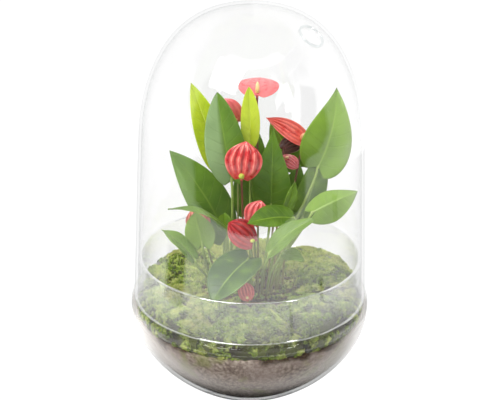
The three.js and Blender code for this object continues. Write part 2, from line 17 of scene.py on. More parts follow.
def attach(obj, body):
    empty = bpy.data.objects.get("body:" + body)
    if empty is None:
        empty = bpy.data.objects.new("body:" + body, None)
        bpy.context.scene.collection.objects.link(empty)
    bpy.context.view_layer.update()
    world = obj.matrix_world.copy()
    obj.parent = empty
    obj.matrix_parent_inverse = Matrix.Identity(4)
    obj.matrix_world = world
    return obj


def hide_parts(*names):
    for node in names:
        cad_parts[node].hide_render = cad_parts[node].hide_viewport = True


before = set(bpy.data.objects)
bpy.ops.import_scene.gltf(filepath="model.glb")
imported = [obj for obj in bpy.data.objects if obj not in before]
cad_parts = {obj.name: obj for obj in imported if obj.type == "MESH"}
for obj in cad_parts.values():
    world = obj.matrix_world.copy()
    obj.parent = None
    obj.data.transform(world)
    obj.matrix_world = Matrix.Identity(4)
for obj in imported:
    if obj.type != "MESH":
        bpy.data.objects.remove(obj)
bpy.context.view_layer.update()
scene = bpy.context.scene
draw = np.random.default_rng(24)
MM = 0.001
print("nodes in the frame:", len(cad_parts))

# %% [markdown]
# ## Finishes as arithmetic
#
# A shader is a formula that is worked out at every point of a surface. Node by node it is slow to read,
# so a small class wraps a socket and lets Python's own signs add the Math nodes. Colours go through Mix
# nodes, since a Math node would turn them grey. A second class holds one material and adds any other
# node: its settings first, then the values or links of its sockets.


# %% A socket that takes part in arithmetic
class Wire:
    """An output socket. +, -, *, / and ** on it add Math nodes and give a new Wire."""

    def __init__(self, finish, socket):
        self.finish = finish
        self.socket = socket

    def math(self, operation, *others):
        values = dict(enumerate([self, *others]))
        return self.finish.node("Math", {"operation": operation}, values)

    def __add__(self, other):
        return self.math("ADD", other)

    def __sub__(self, other):
        return self.math("SUBTRACT", other)

    def __mul__(self, other):
        return self.math("MULTIPLY", other)

    def __truediv__(self, other):
        return self.math("DIVIDE", other)

    def __pow__(self, other):
        return self.math("POWER", other)

    def __rsub__(self, other):
        return self.finish.node("Math", {"operation": "SUBTRACT"}, {0: other, 1: self})

    __radd__ = __add__
    __rmul__ = __mul__

    def length(self):
        """How far a place lies from the origin."""
        return self.finish.node("VectorMath", {"operation": "LENGTH"}, {0: self}, output="Value")

    def band(self, low, high, soft=0.04):
        """1 between low and high, and 0 outside, with soft edges."""
        return self.step(low, low + soft) * (1 - self.step(high - soft, high))

    def step(self, low, high):
        """0 below low and 1 above high, with a soft rise between them."""
        settings = {"interpolation_type": "SMOOTHSTEP"}
        return self.finish.node("MapRange", settings, {"Value": self, "From Min": low, "From Max": high})


# %% A material that is built node by node
def srgb(red, green, blue):
    """A colour read off a screen (0 to 255), as the linear colour that a shader works in."""
    def linear(level):
        share = level / 255
        return share / 12.92 if share <= 0.04045 else ((share + 0.055) / 1.055) ** 2.4

    return (linear(red), linear(green), linear(blue), 1)


class Finish:
    """One node tree, a material's or the world's, and one method that adds any node to it."""

    def __init__(self, owner):
        self.owner = owner
        owner.use_nodes = True
        self.tree = owner.node_tree
        self.tree.nodes.clear()

    def node(self, kind, settings=None, values=None, output=0):
        made = self.tree.nodes.new("ShaderNode" + kind)
        for key, setting in (settings or {}).items():
            setattr(made, key, setting)
        for key, value in (values or {}).items():
            if isinstance(value, Wire):
                self.tree.links.new(value.socket, made.inputs[key])
            else:
                made.inputs[key].default_value = value
        return Wire(self, made.outputs[output]) if made.outputs else None

    def mark(self, label):
        """The value painted on the mesh under this name."""
        return self.node("Attribute", {"attribute_name": label}, output="Fac")

    def place(self):
        return self.node("TexCoord", output="Object")

    def split(self, vector):
        """The X, Y and Z of a vector."""
        parts = self.node("SeparateXYZ", None, {0: vector}).socket.node.outputs
        return [Wire(self, part) for part in parts]

    def noise(self, scale, detail=3.0, stretch=(1, 1, 1)):
        scaled = self.node("Mapping", None, {"Vector": self.place(), "Scale": stretch})
        return self.node("TexNoise", None, {"Vector": scaled, "Scale": scale, "Detail": detail})

    def mix(self, share, first, second):
        return self.node("Mix", {"data_type": "RGBA"}, {0: share, 6: first, 7: second}, output=2)

    def skin(self, colour, roughness, relief=None, depth=0.0002, **fixed):
        """The Principled shader, with its relief as a Bump node and its other sockets at fixed values."""
        values = {"Base Color": colour, "Roughness": roughness}
        if relief is not None:
            values["Normal"] = self.node("Bump", None, {"Height": relief, "Distance": depth})
        values.update({name.replace("_", " "): value for name, value in fixed.items()})
        return self.node("BsdfPrincipled", None, values)

    def show(self, shader):
        self.node("OutputMaterial", None, {"Surface": shader})
        return self.owner


def new_finish(name):
    return Finish(bpy.data.materials.new(name))


# %% [markdown]
# ## Shapes from rings
#
# Everything here is round or leaf-like, so one idea makes it all: a row of rings with a skin drawn
# between them. A leaf is a flat ring that grows and shrinks, a stem a small round one, glass a profile
# turned about the axis. Sizes are written in millimetres, as in the CAD source, and become metres at
# the very end.


# %% A shape collects rings before it becomes a piece
def unit(vector):
    return vector / np.linalg.norm(vector, axis=-1, keepdims=True)


class Shape:
    """Points, faces and painted marks of one piece."""

    def __init__(self):
        self.points = []
        self.faces = []
        self.marks = {}
        self.count = 0

    def add(self, points, faces, **marks):
        points = np.asarray(points, float).reshape(-1, 3)
        self.faces += (np.asarray(faces) + self.count).tolist()
        self.points.append(points)
        for label in set(self.marks) | set(marks):
            known = self.marks.setdefault(label, np.zeros(self.count))
            fresh = np.broadcast_to(marks.get(label, 0.0), (len(points),))
            self.marks[label] = np.concatenate([known, fresh])
        self.count += len(points)

    def loft(self, rings, capped=True, **marks):
        """A skin over rings of the same number of points, closed by a fan at each end."""
        rings = np.asarray(rings, float)
        rows, around = rings.shape[:2]
        first = np.arange(rows - 1)[:, None] * around
        here = np.arange(around)[None, :]
        after = (here + 1) % around
        quads = np.stack([first + here, first + after, first + around + after, first + around + here], -1)
        self.add(rings, quads.reshape(-1, 4), **marks)
        if capped:
            for row, turn in ((0, -1), (rows - 1, 1)):
                ring = np.vstack([rings[row], rings[row].mean(0)])
                fan = np.stack([here[0], after[0], np.full(around, around)], -1)[:, ::turn]
                cut = slice(row * around, (row + 1) * around)
                edge = {}
                for label, value in marks.items():
                    painted = np.broadcast_to(value, (rows * around,))[cut]
                    edge[label] = np.append(painted, painted.mean())
                self.add(ring, fan, **edge)

    def piece(self, name, finish, slot, *nodes):
        """The finished mesh, riding on the frame and standing for the CAD nodes."""
        mesh = bpy.data.meshes.new(name)
        mesh.from_pydata((np.vstack(self.points) * MM).tolist(), [], self.faces)
        for label, values in self.marks.items():
            painted = mesh.attributes.new(label, "FLOAT", "POINT")
            painted.data.foreach_set("value", values.astype(np.float32))
        mesh.materials.append(finish)
        mesh.shade_smooth()
        made = bpy.data.objects.new(name, mesh)
        scene.collection.objects.link(made)
        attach(made, "root")
        if nodes:
            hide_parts(*nodes)
        return made


# %% [markdown]
# ## The glass
#
# The bowl and the dome are glass, taken as 3 mm thick: a slow outer curve, an inner curve that keeps the
# wall's thickness, and rounded edges. The profile is drawn once and turned about the axis. The corners
# are rounded by a small curve, because a sharp glass edge would look cut.

# %% The glass's own dimensions
WALL = 3
BASE_THICKNESS = 9
FOOT_RADIUS = 40
BOWL_RADIUS = 118
BELLY_HEIGHT = 97
BOWL_FLANK, BOWL_FOOT = 2.19, 0.9
SHOULDER_HEIGHT = 101.6
NECK_RADIUS = 110.2
NECK_TOP = 144.5
DOME_FOOT_HEIGHT = 101.9
DOME_FOOT_RADIUS = 115
DOME_SHOULDER_RADIUS = 109.8
DOME_CURVE_START = 252
DOME_TOP = 398
DOME_RISE, DOME_FLANK = 2.14, 2.7
DOME_BLEND = (212, 285)
GLASS_SIDES = 160
BOWL_CORNER, DOME_CORNER = 1, 0.9
NOWHERE = (0, 0)


def between(first, second, share):
    return first + (second - first) * share


def bowl_radius(height):
    share = np.minimum(1, np.asarray(height, float) / BELLY_HEIGHT)
    return between(FOOT_RADIUS, BOWL_RADIUS, (1 - (1 - share) ** BOWL_FLANK) ** BOWL_FOOT)


def bowl_inner_radius(height):
    slope = bowl_radius(height + 0.5) - bowl_radius(height - 0.5)
    return bowl_radius(height) - WALL * np.hypot(1, slope)


def curve(start, control, end, t):
    """A quadratic Bezier curve at t."""
    return (1 - t) ** 2 * start + 2 * t * (1 - t) * control + t**2 * end


# %% A profile with soft corners, turned about the axis
def soften(profile, corner):
    """Rounds each corner of a profile by a curve that starts "corner" away from it.

    Where there is room, one more point stands beside the curve, so that the wall next to it stays flat.
    """
    profile = np.asarray(profile, float)
    smooth = [profile[0]]
    for before, here, after in zip(profile, profile[1:], profile[2:]):
        room_before, room_after = np.linalg.norm(before - here), np.linalg.norm(after - here)
        start = here + unit(before - here) * min(corner, room_before / 2.1)
        end = here + unit(after - here) * min(corner, room_after / 2.1)
        if room_before > 4 * corner:
            smooth.append(here + unit(before - here) * 1.5 * corner)
        for t in np.linspace(0, 1, 4):
            smooth.append(curve(start, here, end, t))
        if room_after > 4 * corner:
            smooth.append(here + unit(after - here) * 1.5 * corner)
    return np.vstack([*smooth, profile[-1]])


def turn(shape, profile, sides=GLASS_SIDES, lip=NOWHERE, shoulder=NOWHERE):
    """Turns (radius, height) pairs into a body and marks the rings of its lip and of its shoulder.

    Each of these two lies between two heights. Both ends of the profile lie on the axis.
    """
    angles = np.linspace(0, 2 * np.pi, sides, endpoint=False)
    inner = np.asarray(profile)[1:-1]
    on_lip = (inner[:, 1] > lip[0]) & (inner[:, 1] < lip[1])
    on_shoulder = (inner[:, 1] > shoulder[0]) & (inner[:, 1] < shoulder[1])
    rings = np.stack(
        [
            inner[:, :1] * np.cos(angles),
            inner[:, :1] * np.sin(angles),
            np.repeat(inner[:, 1:], sides, 1),
        ],
        -1,
    )
    marks = {"lip": on_lip, "shoulder": on_shoulder}
    shape.loft(rings, **{label: np.repeat(value, sides).astype(float) for label, value in marks.items()})


# %% The bowl
flank = np.linspace(0, 1, 34)[1:] ** 1.6 * (BELLY_HEIGHT - 4)
inside = np.linspace(1, 0, 30) ** 1.4 * (90 - 13) + 13
bowl_profile = soften(
    [
        (0, 0),
        (FOOT_RADIUS - 6, 0),
        (FOOT_RADIUS + 1, 0.6),
        *zip(bowl_radius(flank), flank),
        (BOWL_RADIUS, BELLY_HEIGHT - 0.5),
        (BOWL_RADIUS - 0.7, SHOULDER_HEIGHT - 0.8),
        (BOWL_RADIUS - 2.6, SHOULDER_HEIGHT),
        (NECK_RADIUS, SHOULDER_HEIGHT),
        (NECK_RADIUS, NECK_TOP),
        (NECK_RADIUS - WALL, NECK_TOP),
        (NECK_RADIUS - WALL, SHOULDER_HEIGHT - 1),
        (BOWL_RADIUS - WALL - 1.6, BELLY_HEIGHT - 0.5),
        *zip(bowl_inner_radius(inside), inside),
        (FOOT_RADIUS, BASE_THICKNESS),
        (0, BASE_THICKNESS),
    ],
    BOWL_CORNER,
)
neck_lip = (NECK_TOP - 0.9, NECK_TOP + 1)
bowl_shoulder = (BELLY_HEIGHT - 5, SHOULDER_HEIGHT + 2)
bowl = Shape()
turn(bowl, bowl_profile, lip=neck_lip, shoulder=bowl_shoulder)
print("bowl profile points:", len(bowl_profile))

# %% [markdown]
# The dome leans in a little and closes in a rounded cap. Its vent is a hole of 25 mm in the slope of the
# cap. A Boolean cuts it, and a rounded bead of glass runs round the cut.


# %% The dome and its vent
VENT_CENTRE = np.array([54.4, -31.7, 382.3])
VENT_AXIS = unit(np.array([0.51, -0.3, 0.8]))
VENT_OUTWARD = np.array([0.86, -0.51, 0])
VENT_RADIUS = 12.5
VENT_BEAD = 1.2
CAP_ROUNDNESS = 260


def dome_side(inset):
    """The dome's outline from its foot to its top, "inset" inside the outer face.

    A short curve carries the leaning wall over into the cap, so that no line shows between them. Its
    control point is where the wall's line meets the cap's tangent.
    """
    lean = (DOME_SHOULDER_RADIUS - DOME_FOOT_RADIUS) / (DOME_CURVE_START - DOME_FOOT_HEIGHT)
    wall = [
        (DOME_FOOT_RADIUS - inset + lean * (height - DOME_FOOT_HEIGHT), height)
        for height in np.linspace(DOME_FOOT_HEIGHT, DOME_BLEND[0], 5)
    ]
    share = 1 - np.linspace(1, 0.004, 60) ** 2
    fall = (1 - share**DOME_RISE) ** (1 / DOME_FLANK)
    rise = between(DOME_CURVE_START, DOME_TOP - inset, share)
    cap = np.stack([(DOME_SHOULDER_RADIUS - inset) * fall, rise], -1)
    cap = cap[cap[:, 1] > DOME_BLEND[1]]
    start, end = np.array(wall[-1]), cap[0]
    slope = (cap[1] - cap[0])[0] / (cap[1] - cap[0])[1]
    height = (end[0] - slope * end[1] - start[0] + lean * start[1]) / (lean - slope)
    control = np.array([start[0] + lean * (height - start[1]), height])
    blend = [curve(start, control, end, t) for t in np.linspace(0, 1, 18)[1:-1]]
    return [*wall, *blend, *cap, (0, DOME_TOP - inset)]


def rings_along(path, radii, sides, side=None):
    """Round rings across a path, turned as little as possible from one to the next."""
    path = np.asarray(path, float)
    radii = np.broadcast_to(radii, (len(path),))
    along = unit(np.gradient(path, axis=0))
    across = np.array([0.3, 1.0, 0.1]) if side is None else np.asarray(side, float)
    angles = np.linspace(0, 2 * np.pi, sides, endpoint=False)[:, None]
    rings = []
    for point, heading, radius in zip(path, along, radii):
        across = unit(across - heading * (across @ heading))
        other = np.cross(heading, across)
        rings.append(point + radius * (across * np.cos(angles) + other * np.sin(angles)))
    return np.array(rings)


dome_profile = soften([*reversed(dome_side(WALL)), *dome_side(0)], DOME_CORNER)
dome_lip = (DOME_FOOT_HEIGHT - 1, DOME_FOOT_HEIGHT + 0.6)
dome = Shape()
turn(dome, dome_profile, lip=dome_lip)
print("dome rings:", dome.count // GLASS_SIDES)

# %% [markdown]
# Glass is mostly seen through. The finish mixes a clear, faintly tinted shader with a mirror: a few
# parts in a hundred reflect where one looks straight at the wall, and more than half at its edge.
# Layer Weight's Facing gives that angle on the outer and the inner face alike. The tint also grows
# towards the edge, where more glass lies in the line of sight.
#
# In the photograph the soil looks pale towards the bowl's outline. The fog that stands for this is a pale
# matt shader that shows where one looks along the glass. It starts 30 mm above the foot and ends just
# above the belly. The marks on the mesh change the mirror: the lips of the neck and of the dome catch
# more light, and the bowl's shoulder less, since the photograph shows the moss there without a veil.


# %% Glass finish
HEAD_ON_MIRROR = 0.042
FOG_FROM, FOG_TO = (0.03, 0.075), (0.082, 0.1)


def glass_finish(name, clear, edge, edge_power, edge_gloss, fog=False):
    finish = new_finish(name)
    facing = finish.node("LayerWeight", None, {"Blend": 0.5}, output="Facing")
    smear = finish.noise(14, 2.0).step(0.35, 0.8)
    clear_glass = finish.node("BsdfTransparent", None, {"Color": clear})
    edge_glass = finish.node("BsdfTransparent", None, {"Color": edge})
    body = finish.node("MixShader", None, {0: facing**7.0, 1: clear_glass, 2: edge_glass})
    if fog:
        height = finish.split(finish.place())[2]
        damp = height.step(*FOG_FROM) * (1 - height.step(*FOG_TO)) * facing.step(0.35, 0.9)
        mist = finish.node("BsdfDiffuse", None, {"Color": srgb(238, 234, 230), "Roughness": 1.0})
        body = finish.node("MixShader", None, {0: damp * 0.8, 1: body, 2: mist})
    mirror = finish.node("BsdfGlossy", None, {"Color": (1, 1, 1, 1), "Roughness": 0.012 + smear * 0.012})
    reflected = HEAD_ON_MIRROR + (facing**edge_power) * edge_gloss
    reflected = reflected * (1 - finish.mark("shoulder") * 0.6) + finish.mark("lip") * 0.5
    return finish.show(finish.node("MixShader", None, {0: reflected, 1: body, 2: mirror}))


dome_glass = glass_finish("clear_dome_glass", srgb(254, 254, 254), srgb(224, 225, 225), 4.5, 0.55)
bowl_glass = glass_finish("clear_bowl_glass", srgb(254, 254, 254), srgb(240, 242, 241), 3.0, 0.7, fog=True)
bead_glass = glass_finish("clear_vent_bead", srgb(247, 249, 249), srgb(206, 211, 210), 4.0, 0.4)

bowl.piece("bowl_glass_body", bowl_glass, "glass_bowl", "glass_bowl")
dome_piece = dome.piece("dome_glass_body", dome_glass, "glass_dome", "glass_dome")


# %% Cut the vent and lay its bead
def cut_hole(target, centre, axis, radius):
    """Cuts a round hole with a Boolean and keeps the result as the piece's mesh."""
    cutter_shape = Shape()
    path = centre + np.outer([-15, 15], axis)
    cutter_shape.loft(rings_along(path, radius, 64))
    mesh = bpy.data.meshes.new("vent_cutter")
    mesh.from_pydata((np.vstack(cutter_shape.points) * MM).tolist(), [], cutter_shape.faces)
    cutter = bpy.data.objects.new("vent_cutter", mesh)
    scene.collection.objects.link(cutter)
    cut = target.modifiers.new("vent", "BOOLEAN")
    cut.object = cutter
    cut.solver = "EXACT"
    bpy.context.view_layer.update()
    evaluated = target.evaluated_get(bpy.context.evaluated_depsgraph_get())
    result = bpy.data.meshes.new_from_object(evaluated)
    target.modifiers.clear()
    target.data = result
    bpy.data.objects.remove(cutter)


cut_hole(dome_piece, VENT_CENTRE, VENT_AXIS, VENT_RADIUS)
bead = Shape()
turns = np.linspace(0, 2 * np.pi, 65)
vent_side = unit(np.cross(VENT_AXIS, [0, 0, 1]))
vent_up = np.cross(VENT_AXIS, vent_side)
circle = VENT_CENTRE + (VENT_RADIUS - 0.2) * (
    np.outer(np.cos(turns), vent_side) + np.outer(np.sin(turns), vent_up)
)
sag = ((circle - VENT_CENTRE) @ VENT_OUTWARD) ** 2 / CAP_ROUNDNESS
circle -= np.outer(sag, VENT_AXIS)
bead.loft(rings_along(circle, VENT_BEAD, 16, VENT_AXIS), capped=False, lip=0.1)
bead.piece("vent_bead", bead_glass, "glass_dome")
print("dome faces after the cut:", len(dome_piece.data.polygons))

# %% [markdown]
# ## Soil
#
# The soil is a mound in the middle and a lower ledge along the glass. Against the glass it is flat, and
# its finish is made of grey-tan crumbs with a few green patches, pale under the moss and darker towards
# the foot, a painted shade where the bowl stands on the floor. Its top is crumbly, with chips of bark on
# it.

# %% Soil body
MOUND_RADIUS = 46
MOUND_HEIGHT = 106
LEDGE_RADIUS = 74
LEDGE_HEIGHT = 84
SOIL_SIDES = 150
SOIL_GAP = 0.9
CHIP_COUNT, CHIP_SIZE = 520, 2.1
FIBRE_COUNT = 300


def soil_top(radius):
    share = np.clip((radius - MOUND_RADIUS) / (LEDGE_RADIUS - MOUND_RADIUS), 0, 1)
    return between(MOUND_HEIGHT, LEDGE_HEIGHT, share)


def roughness_at(points, scale, seed=0.0):
    """A smooth random height from -1 to 1 at each point."""
    shift = Vector((seed, 2 * seed, 3 * seed))
    return np.array([noise.noise(Vector(point) * scale + shift) for point in points])


down = np.linspace(LEDGE_HEIGHT - 0.8, 13.5, 30)
soil_profile = np.vstack(
    [
        (0, MOUND_HEIGHT),
        *[(radius, soil_top(radius)) for radius in np.linspace(2, 112, 46)],
        *[(radius, height) for radius, height in zip(bowl_inner_radius(down) - SOIL_GAP, down)],
        (FOOT_RADIUS - 1, BASE_THICKNESS + 0.5),
        (0, BASE_THICKNESS + 0.4),
    ]
)
soil = Shape()
turn(soil, soil_profile, SOIL_SIDES)
body_points = soil.points[0]
height = body_points[:, 2]
on_top = np.clip((height - LEDGE_HEIGHT + 1) * 2, 0, 1)
crumbs = 1.5 * roughness_at(body_points, 0.22) + 0.9 * roughness_at(body_points, 0.55, 3.1)
body_points[:, 2] += on_top * crumbs
wall_share = 1 - on_top
body_points[:, :2] *= (1 - 0.004 * wall_share * (1 + roughness_at(body_points, 0.12, 5.3)))[:, None]


# %% Bark chips and crumbs on the mound
def chips(shape, count, size):
    """Small squashed octahedra, each turned at random, on the mound."""
    corners = np.array([(1, 0, 0), (-1, 0, 0), (0, 1, 0), (0, -1, 0), (0, 0, 1), (0, 0, -1)], float)
    sides = [(0, 2, 4), (2, 1, 4), (1, 3, 4), (3, 0, 4), (2, 0, 5), (1, 2, 5), (3, 1, 5), (0, 3, 5)]
    for _ in range(count):
        radius = 60 * math.sqrt(draw.random())
        angle = draw.uniform(0, 2 * np.pi)
        spin = np.array(Matrix.Rotation(draw.uniform(0, 6.28), 3, Vector(draw.normal(size=3))))
        stretch = size * draw.uniform(0.5, 1.3, 3) * (1, 0.7, 0.45)
        middle = (radius * np.cos(angle), radius * np.sin(angle), soil_top(radius) + 0.6)
        shape.add((corners * stretch) @ spin.T + middle, sides, chip=draw.uniform(0.3, 1))


def fibres(shape, count):
    """Fine roots and bark fibres that lie between the soil and the glass."""
    for _ in range(count):
        low, angle = draw.uniform(20, 80), draw.uniform(0, 2 * np.pi)
        rise, sweep = draw.uniform(-4, 4), draw.uniform(2, 7)
        t = np.linspace(-0.5, 0.5, 7)
        heights = low + rise * t + 1.6 * np.sin(3 * t + angle)
        radius = bowl_inner_radius(heights) - 0.75
        turned = angle + sweep * t / radius
        path = np.stack([radius * np.cos(turned), radius * np.sin(turned), heights], -1)
        shape.loft(rings_along(path, 0.24 * np.sqrt(1.05 - 4 * t**2), 4), fibre=draw.uniform(0.3, 1))


chips(soil, CHIP_COUNT, CHIP_SIZE)
fibres(soil, FIBRE_COUNT)


# %% Soil finish
def soil_finish():
    finish = new_finish("fogged_potting_soil")
    height = finish.split(finish.place())[2]
    fine = finish.noise(900, 4.0)
    lumps = finish.noise(300, 8.0)
    mist = finish.noise(22, 4.0)
    crumb = finish.mix(fine.step(0.35, 0.7), srgb(38, 27, 20), srgb(112, 88, 66))
    crumb = finish.mix(finish.mark("chip") * 0.7, crumb, srgb(122, 94, 66))
    fog_and_shade = finish.mix(lumps.step(0.32, 0.74), srgb(136, 118, 108), srgb(226, 210, 194))
    fog_and_shade = finish.mix((1 - fine.step(0.3, 0.42)) * 0.55, fog_and_shade, srgb(64, 52, 44))
    fog_and_shade = finish.mix(mist.step(0.42, 0.62) * 0.6, fog_and_shade, srgb(168, 152, 144))
    algae = finish.noise(38, 4.0).step(0.5, 0.64)
    fog_and_shade = finish.mix(algae * 0.6, fog_and_shade, srgb(150, 158, 84))
    # painted shade: the soil against the glass darkens towards the foot, where the bowl stands on the floor
    fog_and_shade = finish.mix((1 - height.step(0.014, 0.056)) * 0.9, fog_and_shade, srgb(60, 56, 56))
    below = 1 - (height + (mist - 0.5) * 0.06).step(0.083, 0.092)
    colour = finish.mix(below * (0.6 + mist.step(0.3, 0.6) * 0.4), crumb, fog_and_shade)
    colour = finish.mix(finish.mark("fibre"), colour, srgb(214, 200, 178))
    return finish.show(finish.skin(colour, 0.85, fine + lumps * 1.5, 0.0012))


soil.piece("soil_body", soil_finish(), "soil", "soil")
print("soil points:", soil.count)

# %% [markdown]
# ## Moss
#
# Cushion moss is a crowd of tiny shoots. A bumpy cushion carries them, and each shoot is a star of five
# narrow leaflets that stand up and lean out. Shoots grow in round tufts, over the cushion's top and also
# over its outer side, where they press against the glass and leave dark gaps. Painted shade darkens each
# leaflet towards its root and each tuft towards its rim, and a strip of painted shade from the leaves lies
# over the moss in the middle on the right. The lighter cushions at the back and on the right are painted
# light from above and behind. The moss is browner in patches. Every random draw comes from one seeded
# source, so each run grows the same moss.

# %% Moss dimensions
MOSS_INNER_RADIUS = 49
MOSS_BOWL_WALL = 112.6
MOSS_NECK_WALL = 106.2
SHADED_MIDDLE, SHADED_WIDTH = 10, 17
FURROW_DEPTH = 9
# each cushion: start and end angle, crown height and tone; the lighter back and right tones paint light
# from above and behind
CUSHIONS = {
    "moss_front": (-115, -62, 108, 0.35),
    "moss_front_right": (-60, -13, 111, 0.3),
    "moss_right": (-11, 61, 118, 1.0),
    "moss_back": (63, 118, 113, 1.1),
    "moss_back_left": (120, 176, 116, 0.65),
    "moss_front_left": (178, 243, 111, 0.6),
}


def moss_section(height):
    """The cushion's outline at one angle, from its inner foot over the ledge and the top and back."""
    share = np.linspace(0, 1, 16)
    crown = between(height, MOUND_HEIGHT + 1, share**2.2) - 5 * (1 - share) ** 6
    top = np.stack([between(MOSS_NECK_WALL - 0.8, MOSS_INNER_RADIUS + 1.5, share), crown], -1)
    side = np.array(
        [
            (MOSS_BOWL_WALL - 2.4, LEDGE_HEIGHT + 0.5),
            (MOSS_BOWL_WALL - 1.6, LEDGE_HEIGHT + 4),
            (MOSS_BOWL_WALL - 1.6, LEDGE_HEIGHT + 8),
            (MOSS_BOWL_WALL - 1.8, BELLY_HEIGHT - 2),
            (MOSS_BOWL_WALL - 4.2, SHOULDER_HEIGHT - 3.6),
            (MOSS_NECK_WALL - 1, SHOULDER_HEIGHT - 1.5),
        ]
    )
    foot = np.array(
        [(MOSS_INNER_RADIUS, soil_top(MOSS_INNER_RADIUS) + 0.4), (LEDGE_RADIUS, LEDGE_HEIGHT + 0.4)]
    )
    return np.vstack([foot, side, top])


# %% A cushion's skin
def cushion_grid(start, end, height, steps=44):
    """Section points at every angle of a cushion: an array of angle, section point and X, Y, Z."""
    rows = []
    for share in np.linspace(0, 1, steps):
        angle = math.radians(between(start, end, share))
        section = moss_section(height - FURROW_DEPTH * abs(2 * share - 1) ** 5)
        turned = np.stack(
            [section[:, 0] * np.cos(angle), section[:, 0] * np.sin(angle), section[:, 1]], -1
        )
        rows.append(turned)
    grid = np.array(rows)
    spots = grid.reshape(-1, 3)
    bumps = 3.4 * roughness_at(spots, 0.06, 1.7) + 1.4 * roughness_at(spots, 0.17)
    weight = np.zeros(grid.shape[1])
    weight[8:] = 1
    grid[:, :, 2] += bumps.reshape(grid.shape[:2]) * weight
    return grid


def keep_inside(points):
    """Draws points that would touch the glass back to just inside it."""
    radius = np.hypot(points[:, 0], points[:, 1])
    heights = [BELLY_HEIGHT - 0.5, SHOULDER_HEIGHT - 0.6]
    walls = [MOSS_BOWL_WALL + 0.5, MOSS_NECK_WALL + 0.5]
    room = np.interp(points[:, 2], heights, walls)
    scale = np.minimum(1, room / np.maximum(radius, 1))
    points[:, :2] *= scale[:, None]
    return points


# %% Moss shoots
LEAFLETS = 5
TUFT_SHOOTS = 18
SIDE_GROWTH = dict(columns=(2, 8), radius=2.0, length=2.3, contrast=1.5, gaps=0.04)
TOP_GROWTH = dict(columns=(8, 23), radius=2.8, length=4.4, contrast=0.7, gaps=-0.34)
SIDE_TUFTS, TOP_TUFTS = 2000, 2300
SIDE_LIGHT = 0.32


def shoots(shape, roots, headings, lengths, tones):
    """A star of narrow leaflets at each root, all leaning about its heading."""
    count = len(roots)
    side = unit(np.cross(headings, draw.normal(size=(count, 3))))
    other = np.cross(headings, side)
    for leaflet in range(LEAFLETS):
        angle = 2 * np.pi * leaflet / LEAFLETS + draw.uniform(-0.5, 0.5, count)
        lean = draw.uniform(0.35, 1.0, count)[:, None]
        out = side * np.cos(angle)[:, None] + other * np.sin(angle)[:, None]
        flat = np.cross(headings, out)
        reach = unit(headings + out * lean) * lengths[:, None]
        half = flat * (0.14 * lengths)[:, None]
        middle = roots + reach * 0.45 + out * (0.05 * lengths)[:, None]
        tip = roots + reach - headings * (0.12 * lengths)[:, None]
        points = keep_inside(np.stack([roots, middle - half, tip, middle + half], 1).reshape(-1, 3))
        first = np.arange(count)[:, None] * 4
        faces = first + np.array([0, 1, 2, 3])
        shape.add(points, faces, tone=np.repeat(tones, 4), tip=np.tile([0, 0.5, 1, 0.5], count))


def tufts(shape, middles, normals, tones, radius, length):
    """A round tuft of shoots at each middle: upright and bright in its centre, splayed and in painted shade
    outside.
    """
    count = len(middles) * TUFT_SHOOTS
    middles, normals = np.repeat(middles, TUFT_SHOOTS, 0), np.repeat(normals, TUFT_SHOOTS, 0)
    side = unit(np.cross(normals, [0.3, 0.2, 1.0]))
    other = np.cross(normals, side)
    angle = draw.uniform(0, 2 * np.pi, count)[:, None]
    share = np.sqrt(draw.random(count))[:, None]
    out = side * np.cos(angle) + other * np.sin(angle)
    roots = middles + radius * share * out - normals * (0.4 + 0.3 * radius * share**2)
    headings = unit(normals + 0.9 * share * out + 0.18 * draw.normal(size=(count, 3)))
    # painted shade: the shoots darken towards each tuft's rim
    shade = np.repeat(tones, TUFT_SHOOTS) * (1.1 - 0.4 * share[:, 0] ** 2) + 0.26 * draw.normal(size=count)
    lengths = length * draw.uniform(0.7, 1.15, count)
    shoots(shape, roots, headings, lengths, np.clip(shade, 0, 1))


def grow(shape, grid, count, light, columns, radius, length, contrast, gaps):
    """Scatters tufts over some columns of a cushion's grid.

    A smooth noise gives each spot its tone, round "light" and more or less by "contrast", and where the
    noise is lower than "gaps" nothing grows.
    """
    low, high = columns
    row = draw.uniform(0, grid.shape[0] - 1.001, count)
    column = draw.uniform(low, high - 0.001, count)
    i, j = row.astype(int), column.astype(int)
    s, t = (row - i)[:, None], (column - j)[:, None]
    near_edge = between(grid[i, j], grid[i + 1, j], s)
    far_edge = between(grid[i, j + 1], grid[i + 1, j + 1], s)
    here = between(near_edge, far_edge, t)
    normal = unit(np.cross(grid[i, j + 1] - grid[i, j], grid[i + 1, j] - grid[i, j]))
    outward = unit(here * (1, 1, 0))
    normal *= np.sign((normal * (outward + (0, 0, 0.8))).sum(1))[:, None]
    patch = roughness_at(here, 0.1, 9.4)
    kept = patch + draw.uniform(-0.2, 0.2, count) > gaps
    # painted shade: the leaves' shade lowers the tone in a strip in the middle on the right
    shaded = np.exp(-(((here[:, 1] - SHADED_MIDDLE) / SHADED_WIDTH) ** 2))
    shaded *= np.clip(here[:, 0] / 40, 0, 0.8)
    tones = np.clip(light + contrast * (patch + 0.2 * draw.normal(size=count)) - shaded, 0, 1.1)
    tufts(shape, here[kept], unit(normal + (0, 0, 0.5))[kept], tones[kept], radius, length)


